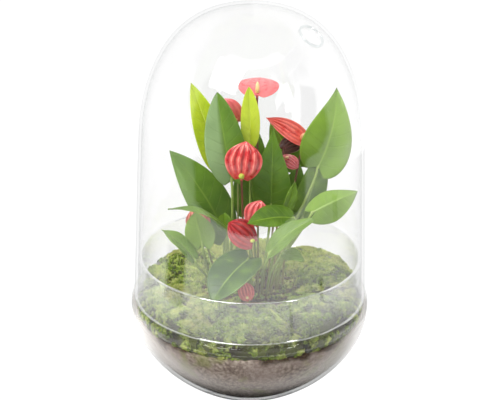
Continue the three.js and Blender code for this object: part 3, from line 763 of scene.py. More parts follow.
# %% Moss finish
def moss_finish():
    finish = new_finish("cushion_moss")
    tone = finish.mark("tone")
    tip = finish.mark("tip")
    fine = finish.noise(420, 4.0)
    patch = finish.noise(45, 3.0)
    # the dark of the bare cushion and of the shoots' lower parts, together with painted shade between the
    # shoots
    shade = finish.mix(patch.step(0.35, 0.65), srgb(38, 32, 18), srgb(72, 78, 24))
    bright = finish.mix(tone.step(0.3, 1.1), srgb(148, 188, 24), srgb(234, 240, 142))
    dry = finish.noise(26, 3.0).step(0.48, 0.66)
    bright = finish.mix(dry * 0.35, bright, srgb(176, 148, 104))
    # painted shade: each leaflet darkens from its tip towards its root
    colour = finish.mix((tip * 0.8 + 0.2) * tone.step(0.0, 0.5), shade, bright)
    return finish.show(finish.skin(colour, 0.8, fine, 0.0008, Sheen_Weight=0.5))


moss_green = moss_finish()
for name, (start, end, height, light) in CUSHIONS.items():
    cushion = Shape()
    grid = cushion_grid(start, end, height)
    cushion.loft(grid, tone=0.0, tip=0.0)
    span = (end - start) / 360
    grow(cushion, grid, int(SIDE_TUFTS * span), SIDE_LIGHT, **SIDE_GROWTH)
    grow(cushion, grid, int(TOP_TUFTS * span), light, **TOP_GROWTH)
    cushion.piece(name + "_tufts", moss_green, "moss", name)
print("moss cushions:", len(CUSHIONS))

# %% Moss on the mound, between the stems
MOUND_TUFTS = 190
MOUND_REACH = 54
MOUND_TUFT_RADIUS = 3.6
MOUND_TUFT_LENGTH = 4

mound = Shape()
mound_radius = MOUND_REACH * np.sqrt(draw.random(MOUND_TUFTS))
mound_angle = draw.uniform(0, 2 * np.pi, len(mound_radius))
mound_spots = np.stack(
    [mound_radius * np.cos(mound_angle), mound_radius * np.sin(mound_angle), soil_top(mound_radius)], -1
)
mound_patch = roughness_at(mound_spots, 0.06, 4.2)
grown = mound_patch + 0.012 * mound_radius + draw.uniform(-0.2, 0.2, len(mound_radius)) > 0.12
upright = np.tile([0, 0, 1.0], (grown.sum(), 1))
mound_tones = np.clip(0.4 + mound_patch[grown], 0, 1)
tufts(mound, mound_spots[grown], upright, mound_tones, MOUND_TUFT_RADIUS, MOUND_TUFT_LENGTH)
mound.piece("moss_mound_tufts", moss_green, "moss")
print("tufts on the mound:", int(grown.sum()))

# %% [markdown]
# ## Leaves
#
# A flamingo flower's leaf is a stiff, satin blade with a raised middle vein. Side veins leave it in
# pairs and curve to a vein that follows the rim, and the blade swells a little between them. The blade
# is a grid of points: "share" runs from its base to its tip, and "across" from rim to rim. Both are
# painted on the mesh, so that the finish can draw each vein where the shape has it.
#
# In the data, "fold" and "droop" shape a blade's cross section, "arch" and "bow" its middle line, "lobe"
# the two ears at its base and "taper" its tip. "tone" runs from the darker to the lighter of its greens,
# and the sheen value paints a pale sheen of light on one half of the upper face, the one where "across"
# has the same sign.

# %% Leaf data: the same values as in the CAD source, in millimetres
LEAF_FORM = dict(
    thickness=0.9, taper=0.9, arch=5, bow=0, fold=0.3, droop=0.12, lobe=7, wave=0.8, waves=1.5,
    swing=0.4, tone=0.6, haze=0,
)
LEAVES = {
    "leaf_lime_left": dict(
        finish="lime", root=(-26, 25), base=(-31, 24, 228), tip=(-59, 20, 316), width=30,
        facing=(0.2, -1, 0.3), tone=0,
    ),
    # its left half carries a painted sheen
    "leaf_tall_left": dict(
        finish="deep", root=(-19, 4), base=(-19, -12, 230), tip=(-33, -8, 317), width=39,
        facing=(-0.1, -1, 0.35), taper=0.8, haze=-1,
    ),
    "leaf_broad_left": dict(
        finish="deep", root=(-27, 17), base=(-25, 18, 156), tip=(-80, 16, 247), width=46,
        facing=(0.5, -0.9, 0.45), arch=11, fold=0.2,
    ),
    "leaf_turned_left": dict(
        finish="mid", root=(-41, 9), base=(-47, -20, 164), tip=(-54, -19, 197), width=30,
        facing=(0.1, 1, 0.2), fold=0.12, arch=1,
    ),
    "leaf_arching_left": dict(
        finish="mid", root=(-12, -7), base=(-15, -30, 175), tip=(-79, -44, 211), width=18,
        facing=(0.37, 0.15, 0.9), arch=10, swing=0.6,
    ),
    "leaf_low_left": dict(
        finish="mid", root=(-41, -3), base=(-55, -31, 153), tip=(-86, -24, 180), width=22,
        facing=(0.5, -0.3, 0.8), arch=3, lobe=4,
    ),
    "leaf_young_left": dict(
        finish="bright", root=(-19, -3), base=(-23, -6, 166), tip=(-26, -8, 191), width=17,
        facing=(-0.1, -1, 0.4), taper=0.6, arch=2, lobe=3,
    ),
    "leaf_front": dict(
        finish="mid", root=(0, -15), base=(-3, -44, 158), tip=(-36, -82, 130), width=46,
        facing=(-0.2, -0.4, 1), lobe=10, tone=-0.3,
    ),
    "leaf_centre": dict(
        finish="deep", root=(14, 3), base=(20, 4, 196), tip=(21, 0, 281), width=38,
        facing=(0, -1, 0.25), taper=1.45,
    ),
    "leaf_lime_centre": dict(
        finish="lime", root=(0, 4), base=(-1, -2, 260), tip=(-3, -6, 322), width=19,
        facing=(0.15, -1, 0.2), taper=0.7, arch=3, lobe=1,
    ),
    "leaf_shade_centre": dict(
        finish="deep", root=(-4, 16), base=(-2, 28, 176), tip=(6, 32, 263), width=36,
        facing=(0, -1, 0.2),
    ),
    "leaf_bright_back": dict(
        finish="bright", root=(26, 21), base=(46, 50, 219), tip=(19, 54, 264), width=32,
        facing=(0, -1, 0.3),
    ),
    "leaf_tall_right": dict(
        finish="mid", root=(28, -1), base=(66, 4, 238), tip=(81, 8, 317), width=49,
        facing=(-0.25, -1, 0.25), lobe=9, fold=0.36, taper=1.12, bow=5.5, tone=0.9,
    ),
    "leaf_pale_right": dict(
        finish="mid", root=(25, 12), base=(52, 18, 177), tip=(71, 24, 248), width=29,
        facing=(0.1, -1, 0.2),
    ),
    "leaf_shade_right": dict(
        finish="deep", root=(21, 20), base=(34, 35, 177), tip=(49, 41, 223), width=26,
        facing=(0.1, -1, 0.3),
    ),
    "leaf_narrow_right": dict(
        finish="bright", root=(19, -3), base=(33, -12, 193), tip=(43, -10, 227), width=14,
        facing=(0.5, -0.8, 0.3), arch=2, lobe=2,
    ),
    "leaf_reaching_right": dict(
        finish="mid", root=(26, -7), base=(62, -20, 200), tip=(104, -6, 215), width=32,
        facing=(0, -0.7, 0.7), arch=3, lobe=9, fold=-0.6, droop=0, tone=1,
    ),
    "leaf_bright_front": dict(
        finish="bright", root=(21, -12), base=(40, -34, 199), tip=(-3, -58, 203), width=29,
        facing=(-0.05, -0.5, 0.85), arch=4, lobe=4, tone=0.1,
    ),
    "leaf_low_right": dict(
        finish="bright", root=(12, -16), base=(20, -69, 180), tip=(61, -67, 213), width=24,
        facing=(-0.3, -0.4, 0.85),
    ),
    "leaf_small_front": dict(
        finish="mid", root=(17, -21), base=(33, -50, 168), tip=(52, -60, 165), width=15,
        facing=(0, -0.5, 0.85), arch=3, lobe=2,
    ),
}


# %% The middle line and the sheet of a blade
def spine_of(blade):
    """Points and headings along a blade's middle line, and the way its upper face looks."""
    base, tip = np.array(blade["base"], float), np.array(blade["tip"], float)
    along = unit(tip - base)
    facing = unit(np.array(blade["facing"], float))
    facing = unit(facing - along * (facing @ along))
    side = np.cross(along, facing)
    control = between(base, tip, 0.55) + facing * 2 * blade["arch"] + side * 2 * blade["bow"]

    def at(share):
        t = np.asarray(share, float)[..., None]
        point = curve(base, control, tip, t)
        heading = unit(2 * (1 - t) * (control - base) + 2 * t * (tip - control))
        return point, heading

    return at, facing


def outline(share, taper):
    def bulge(s):
        return (s + 0.02) ** 0.45 * (1 - s) ** taper

    return bulge(share) / bulge(0.45 / (0.45 + taper))


def sheet_rings(blade, rows, columns, relief):
    """Flat rings of a blade: its upper face from rim to rim, and back under its lower face.

    "relief" gives the extra height of the upper and of the lower face from share, across and half width.
    """
    at, facing = spine_of(blade)
    t = np.linspace(0, 1, rows)
    share = 0.5 * t + 0.25 * (1 - np.cos(np.pi * t))
    point, along = at(share)
    side = unit(np.cross(along, facing))
    normal = np.cross(side, along)
    cusp = 1 - blade.get("cusp", 0) * share**10
    half = np.maximum(0.35, blade["width"] / 2 * outline(share, blade["taper"]) * cusp)[:, None]
    x = np.linspace(-1, 1, columns)
    u = (np.sign(x) * np.abs(x) ** 1.15)[None, :]
    s = share[:, None]
    sweep = blade["lobe"] * np.abs(u) ** 1.5 * (1 - s) ** 4
    wave = blade["wave"] * u**2 * np.sin(2 * np.pi * (blade["waves"] * s + 0.3 * u))
    lift = half * (blade["fold"] * np.abs(u) - blade["droop"] * u**2) + wave
    above, below = relief(s, u, half)
    sheet = point[:, None] + side[:, None] * (u * half)[..., None] - along[:, None] * sweep[..., None]
    thin = blade["thickness"] * (1 - 0.55 * np.abs(u) ** 3)
    upper = sheet + normal[:, None] * (lift + above)[..., None]
    lower = sheet + normal[:, None] * (lift + below - thin)[..., None]
    rings = np.concatenate([upper, lower[:, ::-1]], 1)
    shape = (rows, columns)
    along_sheet, over_sheet = np.broadcast_to(s, shape), np.broadcast_to(u, shape)
    marks = {
        "share": np.concatenate([along_sheet, along_sheet], 1).ravel(),
        "across": np.concatenate([over_sheet, over_sheet[:, ::-1]], 1).ravel(),
        "under": np.concatenate([np.zeros(shape), np.ones(shape)], 1).ravel(),
    }
    return rings, marks


# %% Stems
UP = np.array([0.0, 0.0, 1.0])


def stem_path(root, end, arrival, bend, steps=22):
    """Straight up out of the soil, then in a bow to "end", where it arrives along "arrival"."""
    x, y = root
    ground = np.array([x, y, float(soil_top(math.hypot(x, y))) + 0.3])
    reach = np.linalg.norm(end - ground)
    first = ground + UP * 0.4 * reach
    second = end - arrival * min(bend, 0.3 * reach)
    t = np.linspace(0, 1, steps)[:, None]
    bow = (1 - t) ** 3 * ground + 3 * t * (1 - t) ** 2 * first + 3 * t**2 * (1 - t) * second + t**3 * end
    return np.vstack([ground - UP * 5, ground - UP * 2, bow])


def swell(path, radius, foot, head):
    """A radius along a stem: thicker by "foot" where it leaves the soil and by "head" at its end."""
    distance = np.concatenate([[0], np.cumsum(np.linalg.norm(np.diff(path, axis=0), axis=1))])
    from_end = distance[-1] - distance
    return radius * (1 + foot * np.exp(-distance / 9) + head * np.exp(-((from_end / 4) ** 2)))


# %% [markdown]
# A petiole carries each blade. It thickens where it leaves the soil and has a small knuckle just below
# the blade, and then runs on under the blade as the middle vein.

# %% Build the leaves
BLADE_ROOT = 2.5
PETIOLE_RADIUS = 1.2
PETIOLE_SIDES = 12
PETIOLE_BEND = 30
SIDE_VEINS = 8.0


def leaf_relief(s, u, half):
    """A groove over the middle vein, a ridge under it, and a soft swelling between the side veins."""
    vein = np.exp(-((u * half / 0.9) ** 2))
    phase = s * SIDE_VEINS - np.abs(u) * 1.35
    quilt = 0.11 * np.sin(np.pi * (phase % 1)) * (1 - u**4) * np.sin(np.pi * np.clip(s * 1.1, 0, 1))
    fade = np.clip((1 - s) * 3, 0, 1)
    return quilt - 0.25 * vein * fade, quilt - 0.7 * vein * fade


def make_leaf(name, spec, finish):
    """A blade and its petiole, which rises from the soil and runs on under the blade."""
    leaf = {**LEAF_FORM, **spec}
    at, facing = spine_of(leaf)
    base, start = at(0.0)
    end = base - start * BLADE_ROOT
    arrival = unit(start * leaf["swing"] + UP * (1 - leaf["swing"]))
    normal = np.cross(unit(np.cross(start, facing)), start)
    path = stem_path(leaf["root"], end, arrival, PETIOLE_BEND)
    under = np.array([at(share)[0] - normal * 1.3 for share in (0.02, 0.07, 0.13)])
    radii = np.concatenate([swell(path, PETIOLE_RADIUS, 0.45, 0.3), [1.0, 0.7, 0.35]])
    shape = Shape()
    tone = leaf["tone"]
    rings, marks = sheet_rings(leaf, 46, 27, leaf_relief)
    # painted sheen: one half of the upper face is marked for a pale sheen of light
    haze = np.clip(leaf["haze"] * marks["across"] * 4, 0, 1) * (1 - marks["under"])
    shape.loft(rings, tone=tone, stem=0, haze=haze, **marks)
    path = np.vstack([path, under])
    stem_share = np.repeat(np.linspace(0, 1, len(path)), PETIOLE_SIDES)
    shape.loft(rings_along(path, radii, PETIOLE_SIDES), tone=tone, stem=1, share=stem_share)
    return shape.piece(name + "_blade", finish, "leaf_" + spec["finish"], name)


# %% [markdown]
# The leaf finish reads the painted marks. Side veins are a saw-tooth of "share" minus a little of
# "across", so they slant towards the tip. The middle vein is pale, the blade is mottled and a little
# lighter near the rim, and the underside is paler and duller. The petiole is green-brown near the soil.
# Four greens are mixed from three colours each: the dark and the light of the blade, and its veins.


# %% Leaf finish
def leaf_finish(name, dark, light, vein_colour, gloss):
    finish = new_finish(name)
    share, across, under = finish.mark("share"), finish.mark("across"), finish.mark("under")
    stem, tone = finish.mark("stem"), finish.mark("tone")
    rim = across.math("ABSOLUTE")
    middle = (1 - rim.step(0.0, 0.07)) * (1 - share.step(0.55, 1.0) * 0.8)
    phase = (share * SIDE_VEINS - rim * 1.35).math("FRACT")
    branch = 1 - (phase - 0.5).math("ABSOLUTE").step(0.44, 0.5)
    side_vein = (1 - branch) * rim.step(0.02, 0.1) * (1 - rim.step(0.8, 0.92))
    mottle = finish.noise(120, 4.0)
    cloud = finish.noise(30, 2.0)
    body = finish.mix(cloud.step(0.3, 0.7) * 0.4 + tone * 0.6, dark, light)
    body = finish.mix(mottle.step(0.45, 0.75) * 0.35, body, light)
    body = finish.mix(side_vein * 0.2 + middle * 0.55, body, vein_colour)
    body = finish.mix(rim.step(0.93, 1.0) * 0.35, body, vein_colour)
    body = finish.mix(under * 0.35, body, vein_colour)
    # painted sheen: the marked half of the blade is mixed towards a pale grey-green
    body = finish.mix(finish.mark("haze") * (0.25 + cloud * 0.4), body, srgb(164, 188, 146))
    petiole = finish.mix(share.step(0.0, 0.35), srgb(116, 104, 60), srgb(142, 164, 82))
    colour = finish.mix(stem, body, petiole)
    relief = side_vein * -0.5 + middle * -0.3 + mottle * 0.18
    return finish.show(
        finish.skin(colour, gloss + under * 0.15 + mottle * 0.12, relief, 0.0005, Specular_IOR_Level=0.4)
    )


LEAF_COLOURS = {
    "deep": (srgb(56, 90, 20), srgb(104, 140, 40), srgb(128, 158, 62), 0.34),
    "mid": (srgb(46, 76, 26), srgb(118, 152, 44), srgb(146, 174, 78), 0.34),
    "bright": (srgb(60, 92, 14), srgb(106, 140, 28), srgb(148, 176, 60), 0.34),
    "lime": (srgb(164, 188, 30), srgb(204, 220, 62), srgb(212, 226, 104), 0.36),
}
leaf_greens = {
    green: leaf_finish("leaf_" + green + "_green", *colours) for green, colours in LEAF_COLOURS.items()
}
for name, spec in LEAVES.items():
    make_leaf(name, spec, leaf_greens[spec["finish"]])
print("leaves:", len(LEAVES))

# %% [markdown]
# ## Flowers
#
# What looks like a petal is a spathe, a waxy coloured leaf with ribs that fan from its base to its
# point. On it stands the spadix, a finger that is packed with tiny florets in a crossed lattice. The
# spathe's ribs are real relief, and their grooves carry painted shade and their crests painted
# highlights, so that they show in soft light. The spadix is painted darker between its florets, as shade.

# %% Flower data: the CAD source's values in millimetres, with other "ribs" and a "cusp" that narrows tips
SPATHE_FORM = dict(
    thickness=0.8, taper=0.55, arch=3, bow=0, fold=0.1, droop=0.25, lobe=5, wave=0, waves=0, ribs=0.7,
    swing=0.5, cusp=0.5,
)
SPADIX_LIFT = 0.6
FLOWERS = {
    "flower_top": dict(
        root=(8, 11), base=(5, 12, 308), tip=(8, 48, 312), width=40, facing=(0, -0.15, 1),
        arch=1, droop=0.1, ribs=0.2, spathe="coral", stalk="brown",
        spadix=dict(length=11, radius=2, lean=0.1, lift=0.35, finish="cream"),
    ),
    "flower_front": dict(
        root=(-6, -6), base=(-9, -36, 241), tip=(-5, -30, 276), width=36, facing=(-0.05, -1, 0.15),
        droop=0.4, arch=5, spathe="deep_red", stalk="brown",
        spadix=dict(length=9, radius=2.6, lean=0.1, finish="green"),
    ),
    "flower_right": dict(
        root=(33, 5), base=(51, 20, 258), tip=(14, 22, 280), width=20, facing=(0.1, -0.75, 0.65),
        swing=0.8, fold=0.45, taper=0.95, ribs=0.45, spathe="red", stalk="brown",
        spadix=dict(length=15, radius=2.7, lean=0.1, lift=0.1, finish="peach"),
    ),
    "flower_turned_right": dict(
        root=(19, 13), base=(32, 31, 245), tip=(49, 28, 253), width=23, facing=(0.1, 0.9, 0.4),
        swing=1.6, spathe="maroon", stalk="brown",
        spadix=dict(length=10, radius=2, lean=0.4, finish="peach"),
    ),
    "flower_hanging_right": dict(
        root=(24, 6), base=(32, 8, 243), tip=(46, 4, 235), width=15, facing=(0, -0.6, 0.8),
        spathe="faded", stalk="brown",
        spadix=dict(length=7, radius=1.5, lean=0.2, lift=0.75, finish="peach"),
    ),
    "flower_left": dict(
        root=(-12, 9), base=(-14, 8, 282), tip=(-27, 10, 304), width=22, facing=(-0.2, -0.95, 0.3),
        swing=1.1, ribs=0.2, spathe="coral", stalk="green",
        spadix=dict(length=9, radius=1.8, lean=0.3, finish="peach"),
    ),
    "flower_low_left": dict(
        root=(-34, 3), base=(-47, -9, 174), tip=(-57, -8, 195), width=24, facing=(-0.2, -0.8, 0.5),
        spathe="rust", stalk="green",
        spadix=dict(length=7, radius=1.7, lean=0.6, finish="peach"),
    ),
    "flower_dark_front": dict(
        root=(9, -24), base=(2, -50, 180), tip=(-21, -52, 201), width=27, facing=(0.1, -0.8, 0.6),
        swing=0.9, spathe="crimson", stalk="green",
        spadix=dict(length=8, radius=1.9, lean=0.1, finish="green"),
    ),
    "flower_round_front": dict(
        root=(7, -7), base=(3, -30, 191), tip=(10, -26, 213), width=25, facing=(0.1, -1, 0.3),
        droop=0.4, arch=3, spathe="pink", stalk="green",
        spadix=dict(length=7, radius=1.8, lean=0.2, finish="cream"),
    ),
    "flower_small_low": dict(
        root=(0, -36), base=(-2, -60, 124), tip=(-5, -56, 140), width=16, facing=(0, -0.9, 0.4),
        arch=2, lobe=3, spathe="young", stalk="green",
        spadix=dict(length=6, radius=1.4, lean=0.3, finish="cream"),
    ),
}

# %% Spathes
CLAW_LENGTH = 3
CLAW_RADIUS = 1.4
CLAW_SIDES = 14
RIB_TURNS = 5


def spathe_relief(depth):
    """Ribs of this height, which fade out at the base and the point."""
    def relief(s, u, half):
        ridge = depth * np.cos(RIB_TURNS * np.pi * (u + 1)) * np.sin(np.pi * s)
        return ridge, ridge

    return relief


def stalk_arrival(flower, facing):
    """The heading in which a stalk reaches its spathe: the more "swing", the more from behind."""
    return unit(UP + facing * flower["swing"])


def make_spathe(name, flower, finish):
    """The ribbed blade, and the short claw that joins it to its stalk."""
    at, facing = spine_of(flower)
    base, along = at(0.0)
    arrival = stalk_arrival(flower, facing)
    shape = Shape()
    rings, marks = sheet_rings(flower, 34, 41, spathe_relief(flower["ribs"]))
    shape.loft(rings, **marks)
    normal = np.cross(unit(np.cross(along, facing)), along)
    claw = [
        base - arrival * CLAW_LENGTH,
        base - arrival * 1.2,
        base - normal * 0.4,
        at(0.08)[0] - normal * 0.7,
    ]
    shape.loft(rings_along(claw, [CLAW_RADIUS, 1.3, 1.15, 0.5], CLAW_SIDES), share=0, across=0.2, under=1)
    shape.piece(name + "_petal", finish, "spathe_" + flower["spathe"], name + "_spathe")


# %% Spadices
FLORET_ROWS = 11
FLORET_SPIRALS = 8
SPADIX_RINGS, SPADIX_SIDES = 45, 48


def make_spadix(name, flower, finish):
    """A finger of rings whose radius swells over each floret of a crossed lattice."""
    spadix = flower["spadix"]
    at, facing = spine_of(flower)
    base, along = at(0.0)
    axis = unit(facing * (1 - spadix["lean"]) + along * spadix["lean"])
    radius = spadix["radius"]
    lift = spadix.get("lift", SPADIX_LIFT) + radius * (spadix["lean"] + flower["fold"])
    foot = base + along * radius + facing * lift
    side = unit(np.cross(axis, [0.2, 0.3, 1.0]))
    other = np.cross(axis, side)
    share = np.linspace(0, 1, SPADIX_RINGS)[:, None]
    angle = np.linspace(0, 2 * np.pi, SPADIX_SIDES, endpoint=False)[None, :]
    form = radius * np.sqrt(np.maximum(0.0, 1 - share**3)) * between(0.8, 1, np.minimum(1, 4 * share))
    lattice = np.cos(FLORET_SPIRALS * angle / 2 + FLORET_ROWS * np.pi * share)
    lattice *= np.cos(FLORET_SPIRALS * angle / 2 - FLORET_ROWS * np.pi * share)
    bump = np.abs(lattice) ** 0.7
    wide = (form * (0.94 + 0.12 * bump))[..., None]
    rings = foot + axis * (spadix["length"] * share)[..., None]
    rings = rings + wide * (side * np.cos(angle)[..., None] + other * np.sin(angle)[..., None])
    shape = Shape()
    shape.loft(rings, share=np.repeat(share[:, 0], SPADIX_SIDES), bump=bump.ravel())
    shape.piece(name + "_finger", finish, "spadix_" + spadix["finish"], name + "_spadix")


# %% Stalks
STALK_RADIUS = 1.0


def make_stalk(name, flower, finish):
    at, facing = spine_of(flower)
    base, _ = at(0.0)
    arrival = stalk_arrival(flower, facing)
    end = base - arrival * (CLAW_LENGTH - 0.4)
    path = stem_path(flower["root"], end, arrival, 14)
    shape = Shape()
    share = np.repeat(np.linspace(0, 1, len(path)), 12)
    shape.loft(rings_along(path, swell(path, STALK_RADIUS, 0.4, 0.25), 12), share=share)
    shape.piece(name + "_stem", finish, "stalk_" + flower["stalk"], name + "_stalk")


# %% Spathe, spadix and stalk finishes
def spathe_finish(name, colour, groove, tint_and_highlight, contrast):
    """Waxy skin, with painted shade in the rib grooves and painted highlights on the ribs, by "contrast".
    """
    finish = new_finish(name)
    share, across = finish.mark("share"), finish.mark("across")
    blotch = finish.noise(160, 4.0)
    wander = (finish.noise(60, 3.0) - 0.5) * 4.5
    ridge = ((across + 1) * (RIB_TURNS * math.pi) + wander).math("COSINE") * 0.5 + 0.5
    spread = share.step(0.02, 0.25) * (1 - share.step(0.8, 1.0)) * contrast
    fine = finish.noise(900, 2.0)
    body = finish.mix(blotch.step(0.35, 0.7) * 0.3, colour, tint_and_highlight)
    # painted shade: the grooves between the ribs are mixed towards the darker groove colour
    body = finish.mix((1 - ridge).step(0.5, 1.0) * spread * (0.4 + blotch * 0.8), body, groove)
    # painted highlight: broken pale streaks along the crests of the ribs
    body = finish.mix(ridge.step(0.82, 1.0) * spread * blotch.step(0.25, 0.6) * 0.8, body, tint_and_highlight)
    body = finish.mix(finish.mark("under") * 0.25, body, groove)
    relief = ridge * spread * 0.4 + blotch * 0.35 + fine * 0.05
    return finish.show(
        finish.skin(body, 0.22 + blotch * 0.14, relief, 0.0006, Coat_Weight=0.35, Coat_Roughness=0.12)
    )


def spadix_finish(name, foot, tip):
    finish = new_finish(name)
    share, bump = finish.mark("share"), finish.mark("bump")
    body = finish.mix(share.step(0.1, 0.95), foot, tip)
    # painted shade: the hollows between the florets are mixed towards a dark brown
    body = finish.mix((1 - bump).step(0.35, 0.9) * 0.5, body, srgb(120, 84, 36))
    return finish.show(finish.skin(body, 0.55, bump + finish.noise(1500, 2.0) * 0.2, 0.0002))


def stalk_finish(name, foot, head):
    finish = new_finish(name)
    share = finish.mark("share")
    streak = finish.noise(220, 3.0, (1, 1, 0.12))
    body = finish.mix(share.step(0.05, 0.9), foot, head)
    body = finish.mix(streak.step(0.4, 0.7) * 0.35, body, srgb(70, 50, 30))
    return finish.show(finish.skin(body, 0.4 + streak * 0.15, streak, 0.0001))


# each: body colour, groove colour (painted groove shade, underside), pale tint (blotches, painted rib
# highlights), contrast
SPATHE_COLOURS = {
    "coral": (srgb(212, 96, 98), srgb(186, 66, 72), srgb(228, 130, 126), 0.3),
    "deep_red": (srgb(196, 40, 44), srgb(112, 10, 20), srgb(250, 160, 144), 0.75),
    "red": (srgb(210, 78, 70), srgb(142, 28, 32), srgb(240, 144, 124), 0.6),
    "maroon": (srgb(118, 58, 58), srgb(58, 24, 28), srgb(166, 110, 100), 1),
    "faded": (srgb(172, 84, 86), srgb(120, 44, 50), srgb(206, 120, 116), 0.5),
    "rust": (srgb(196, 104, 84), srgb(128, 62, 44), srgb(224, 150, 128), 0.6),
    "crimson": (srgb(158, 26, 34), srgb(98, 12, 20), srgb(206, 78, 74), 0.6),
    "pink": (srgb(226, 92, 92), srgb(140, 28, 36), srgb(246, 150, 144), 0.9),
    "young": (srgb(206, 96, 94), srgb(146, 46, 52), srgb(232, 146, 138), 0.7),
}
SPADIX_COLOURS = {
    "cream": (srgb(236, 200, 130), srgb(252, 230, 170)),
    "green": (srgb(206, 196, 90), srgb(168, 186, 60)),
    "peach": (srgb(226, 150, 100), srgb(240, 190, 150)),
}
STALK_COLOURS = {
    "brown": (srgb(140, 136, 78), srgb(116, 56, 46)),
    "green": (srgb(112, 104, 62), srgb(142, 160, 86)),
}
spathe_skins = {key: spathe_finish("spathe_" + key, *values) for key, values in SPATHE_COLOURS.items()}
spadix_skins = {key: spadix_finish("spadix_" + key, *values) for key, values in SPADIX_COLOURS.items()}
stalk_skins = {key: stalk_finish("stalk_" + key, *values) for key, values in STALK_COLOURS.items()}
for name, spec in FLOWERS.items():
    flower = {**SPATHE_FORM, **spec}
    make_spathe(name, flower, spathe_skins[flower["spathe"]])
    make_spadix(name, flower, spadix_skins[flower["spadix"]["finish"]])
    make_stalk(name, flower, stalk_skins[flower["stalk"]])
print("flowers:", len(FLOWERS))

# %% [markdown]
# ## Studio
#
# The terrarium stands on a white floor in soft white light. Clear glass shows little of itself: what
# gives it form is what it mirrors. So reflections see a studio that the camera doesn't: a bright oval
# table with a few dark things on it, tall white panels to the left and the right with a dim space
# between them, a softbox overhead and two small bright windows. All of it is guessed from what the glass
# mirrors in the photograph. It is drawn by a few soft steps of the azimuth, which is 0 straight in front,
# and of the height, and the background stays plain in every view.

# %% Stage surfaces
FLOOR_SIZE = 12
TABLE_WIDTH, TABLE_DEPTH = 0.84, 0.668
TABLE_GLOW = 2.1
WHITE_GLOW = 1.08
CONTACT_SHADE = (0.24, 0.37)
# each dark thing: from this azimuth to that one, and from this distance to that one
DARK_THINGS = [
    (-1.43, -1.05, 0.38, 0.56),
    (-1.06, -1.03, 0.2, 0.38),
    (0.62, 0.65, 0.26, 0.42),
    (1.14, 1.2, 0.4, 0.48),
    (1.49, 1.56, 0.6, 0.73),
]


def stage_plane(name, corners, finish):
    """A flat piece of the studio that no ray sees until one kind is let through."""
    mesh = bpy.data.meshes.new(name)
    mesh.from_pydata(corners, [], [tuple(range(len(corners)))])
    mesh.materials.append(finish)
    made = bpy.data.objects.new(name, mesh)
    scene.collection.objects.link(made)
    for kind in ("camera", "diffuse", "glossy", "transmission", "volume_scatter", "shadow"):
        setattr(made, "visible_" + kind, False)
    return made


def glowing(finish, strength):
    return finish.show(finish.node("Emission", None, {"Color": (1, 1, 1, 1), "Strength": strength}))


def mirrored_table():
    """White, but shaded near the bowl, and with a few dark things that stand on it."""
    finish = new_finish("mirrored_table")
    distance = finish.place().length()
    x, y, _ = finish.split(finish.place())
    azimuth = x.math("ARCTAN2", y * -1)
    aside = azimuth.math("ABSOLUTE").step(0.45, 1.0) * distance.step(0.5, 0.62)
    strength = distance.step(*CONTACT_SHADE) * (TABLE_GLOW - aside)
    for start, end, near, far in DARK_THINGS:
        strength = strength * (1 - azimuth.band(start, end, 0.012) * distance.band(near, far, 0.012))
    behind = azimuth.math("ABSOLUTE").step(1.35, 2.0)
    return glowing(finish, strength * (1 - behind) + behind)


def ellipse(width, depth, height, corners=64):
    """Corners of a flat ellipse round the origin."""
    angles = np.linspace(0, 2 * math.pi, corners, endpoint=False)
    return [(width * math.cos(angle), depth * math.sin(angle), height) for angle in angles]


floor_finish = glowing(new_finish("pale_floor"), WHITE_GLOW)
floor = stage_plane("floor", ellipse(FLOOR_SIZE, FLOOR_SIZE, -0.0004), floor_finish)
floor.visible_camera = True
table_card = stage_plane("table_card", ellipse(TABLE_WIDTH, TABLE_DEPTH, -0.001), mirrored_table())
table_card.visible_glossy = True


# %% Light all round
DIM_SPACE = 0.04
CEILING_GLOW = 0.9
SOFTBOX_GLOW = 1.6
WINDOW_GLOW = 18


def world_light():
    """White for the camera, soft light for matt surfaces, and panels for what is mirrored."""
    world = bpy.data.worlds.new("studio")
    scene.world = world
    finish = Finish(world)
    x, y, z = finish.split(finish.node("TexCoord", output="Generated"))
    azimuth = x.math("ARCTAN2", y * -1)
    left = (azimuth * -1 - z.step(-0.38, -0.2) * 0.14).step(0.95, 1.02)
    right = (azimuth - z.step(-0.3, -0.05) * 0.5).step(0.95, 1.02)
    behind = azimuth.math("ABSOLUTE").step(1.7, 2.3)
    high = z.step(0.55, 0.75)
    softbox = z.band(0.83, 0.95) * azimuth.band(-1.15, 1.35, 0.1)
    left_window = azimuth.band(-0.94, -0.72) * z.band(0.52, 0.68)
    right_window = azimuth.band(0.66, 0.86) * z.band(0.26, 0.6)
    low = 1 - z.step(-0.38, -0.2)
    panels = DIM_SPACE + left * 0.8 + right * (0.95 + low * 0.4) + behind * 0.15
    mirrored = panels * (1 - high) + high * CEILING_GLOW + softbox * SOFTBOX_GLOW
    mirrored = mirrored + (left_window + right_window) * WINDOW_GLOW
    soft = 0.84 + z.step(-0.1, 1.0) * 0.9 - x * 0.15
    camera_ray = finish.node("LightPath", output="Is Camera Ray")
    glossy = Wire(finish, camera_ray.socket.node.outputs["Is Glossy Ray"])
    strength = camera_ray * WHITE_GLOW + (1 - camera_ray) * (glossy * mirrored + (1 - glossy) * soft)
    background = finish.node("Background", None, {"Color": (1, 1, 1, 1), "Strength": strength})
    finish.node("OutputWorld", None, {"Surface": background})


world_light()

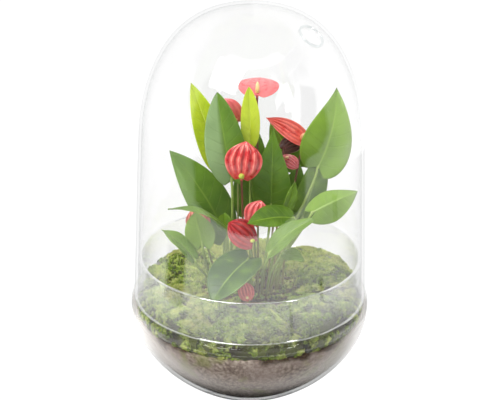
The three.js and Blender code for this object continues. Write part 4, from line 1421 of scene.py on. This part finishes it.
# %% A soft lamp from above on the left gives the leaves their direction
LAMP_POWER = 26
LAMP_SIZE = 0.9
LAMP_PLACE = Vector((-0.7, -0.9, 1.5))
LAMP_TARGET = Vector((0, 0, 0.2))

lamp_data = bpy.data.lights.new("key", "AREA")
lamp_data.energy = LAMP_POWER
lamp_data.size = LAMP_SIZE
lamp = bpy.data.objects.new("key", lamp_data)
lamp.location = LAMP_PLACE
lamp.rotation_euler = (LAMP_TARGET - LAMP_PLACE).to_track_quat("-Z", "Y").to_euler()
scene.collection.objects.link(lamp)

# %% [markdown]
# The camera stands 1.8 m off. This distance is a choice, since the photograph is matched about as well
# from 1.5 to 2.6 m. The view down by 24 degrees, the lens and the small tilt come from fitting the two
# rims of the glass and its outline at that distance.

# %% Camera
CAMERA_DISTANCE = 1.8
CAMERA_ELEVATION = math.radians(24.08)
CAMERA_ROLL = math.radians(0.67)
CAMERA_TARGET = Vector((0, 0, 0.1949))
IMAGE_WIDTH = 500
FOCAL_PIXELS = 1836
SENSOR = 36
CENTRE_OFFSET = (0.6, 6.6)

back = Vector((0, -math.cos(CAMERA_ELEVATION), math.sin(CAMERA_ELEVATION)))
camera_data = bpy.data.cameras.new("camera")
camera_data.sensor_width = SENSOR
camera_data.lens = FOCAL_PIXELS / IMAGE_WIDTH * SENSOR
camera_data.clip_start, camera_data.clip_end = 0.1, 50
camera = bpy.data.objects.new("camera", camera_data)
camera.location = CAMERA_TARGET + back * CAMERA_DISTANCE
aim = (-back).to_track_quat("-Z", "Y").to_matrix()
pan = Matrix.Rotation(CENTRE_OFFSET[0] / FOCAL_PIXELS, 3, "Y")
tilt = Matrix.Rotation(CENTRE_OFFSET[1] / FOCAL_PIXELS, 3, "X")
camera.rotation_euler = (aim @ Matrix.Rotation(CAMERA_ROLL, 3, "Z") @ tilt @ pan).to_euler()
scene.collection.objects.link(camera)
scene.camera = camera
scene.view_settings.view_transform = "Standard"
scene.cycles.transparent_max_bounces = 40
scene.cycles.max_bounces = 16
scene.cycles.sample_clamp_indirect = 4
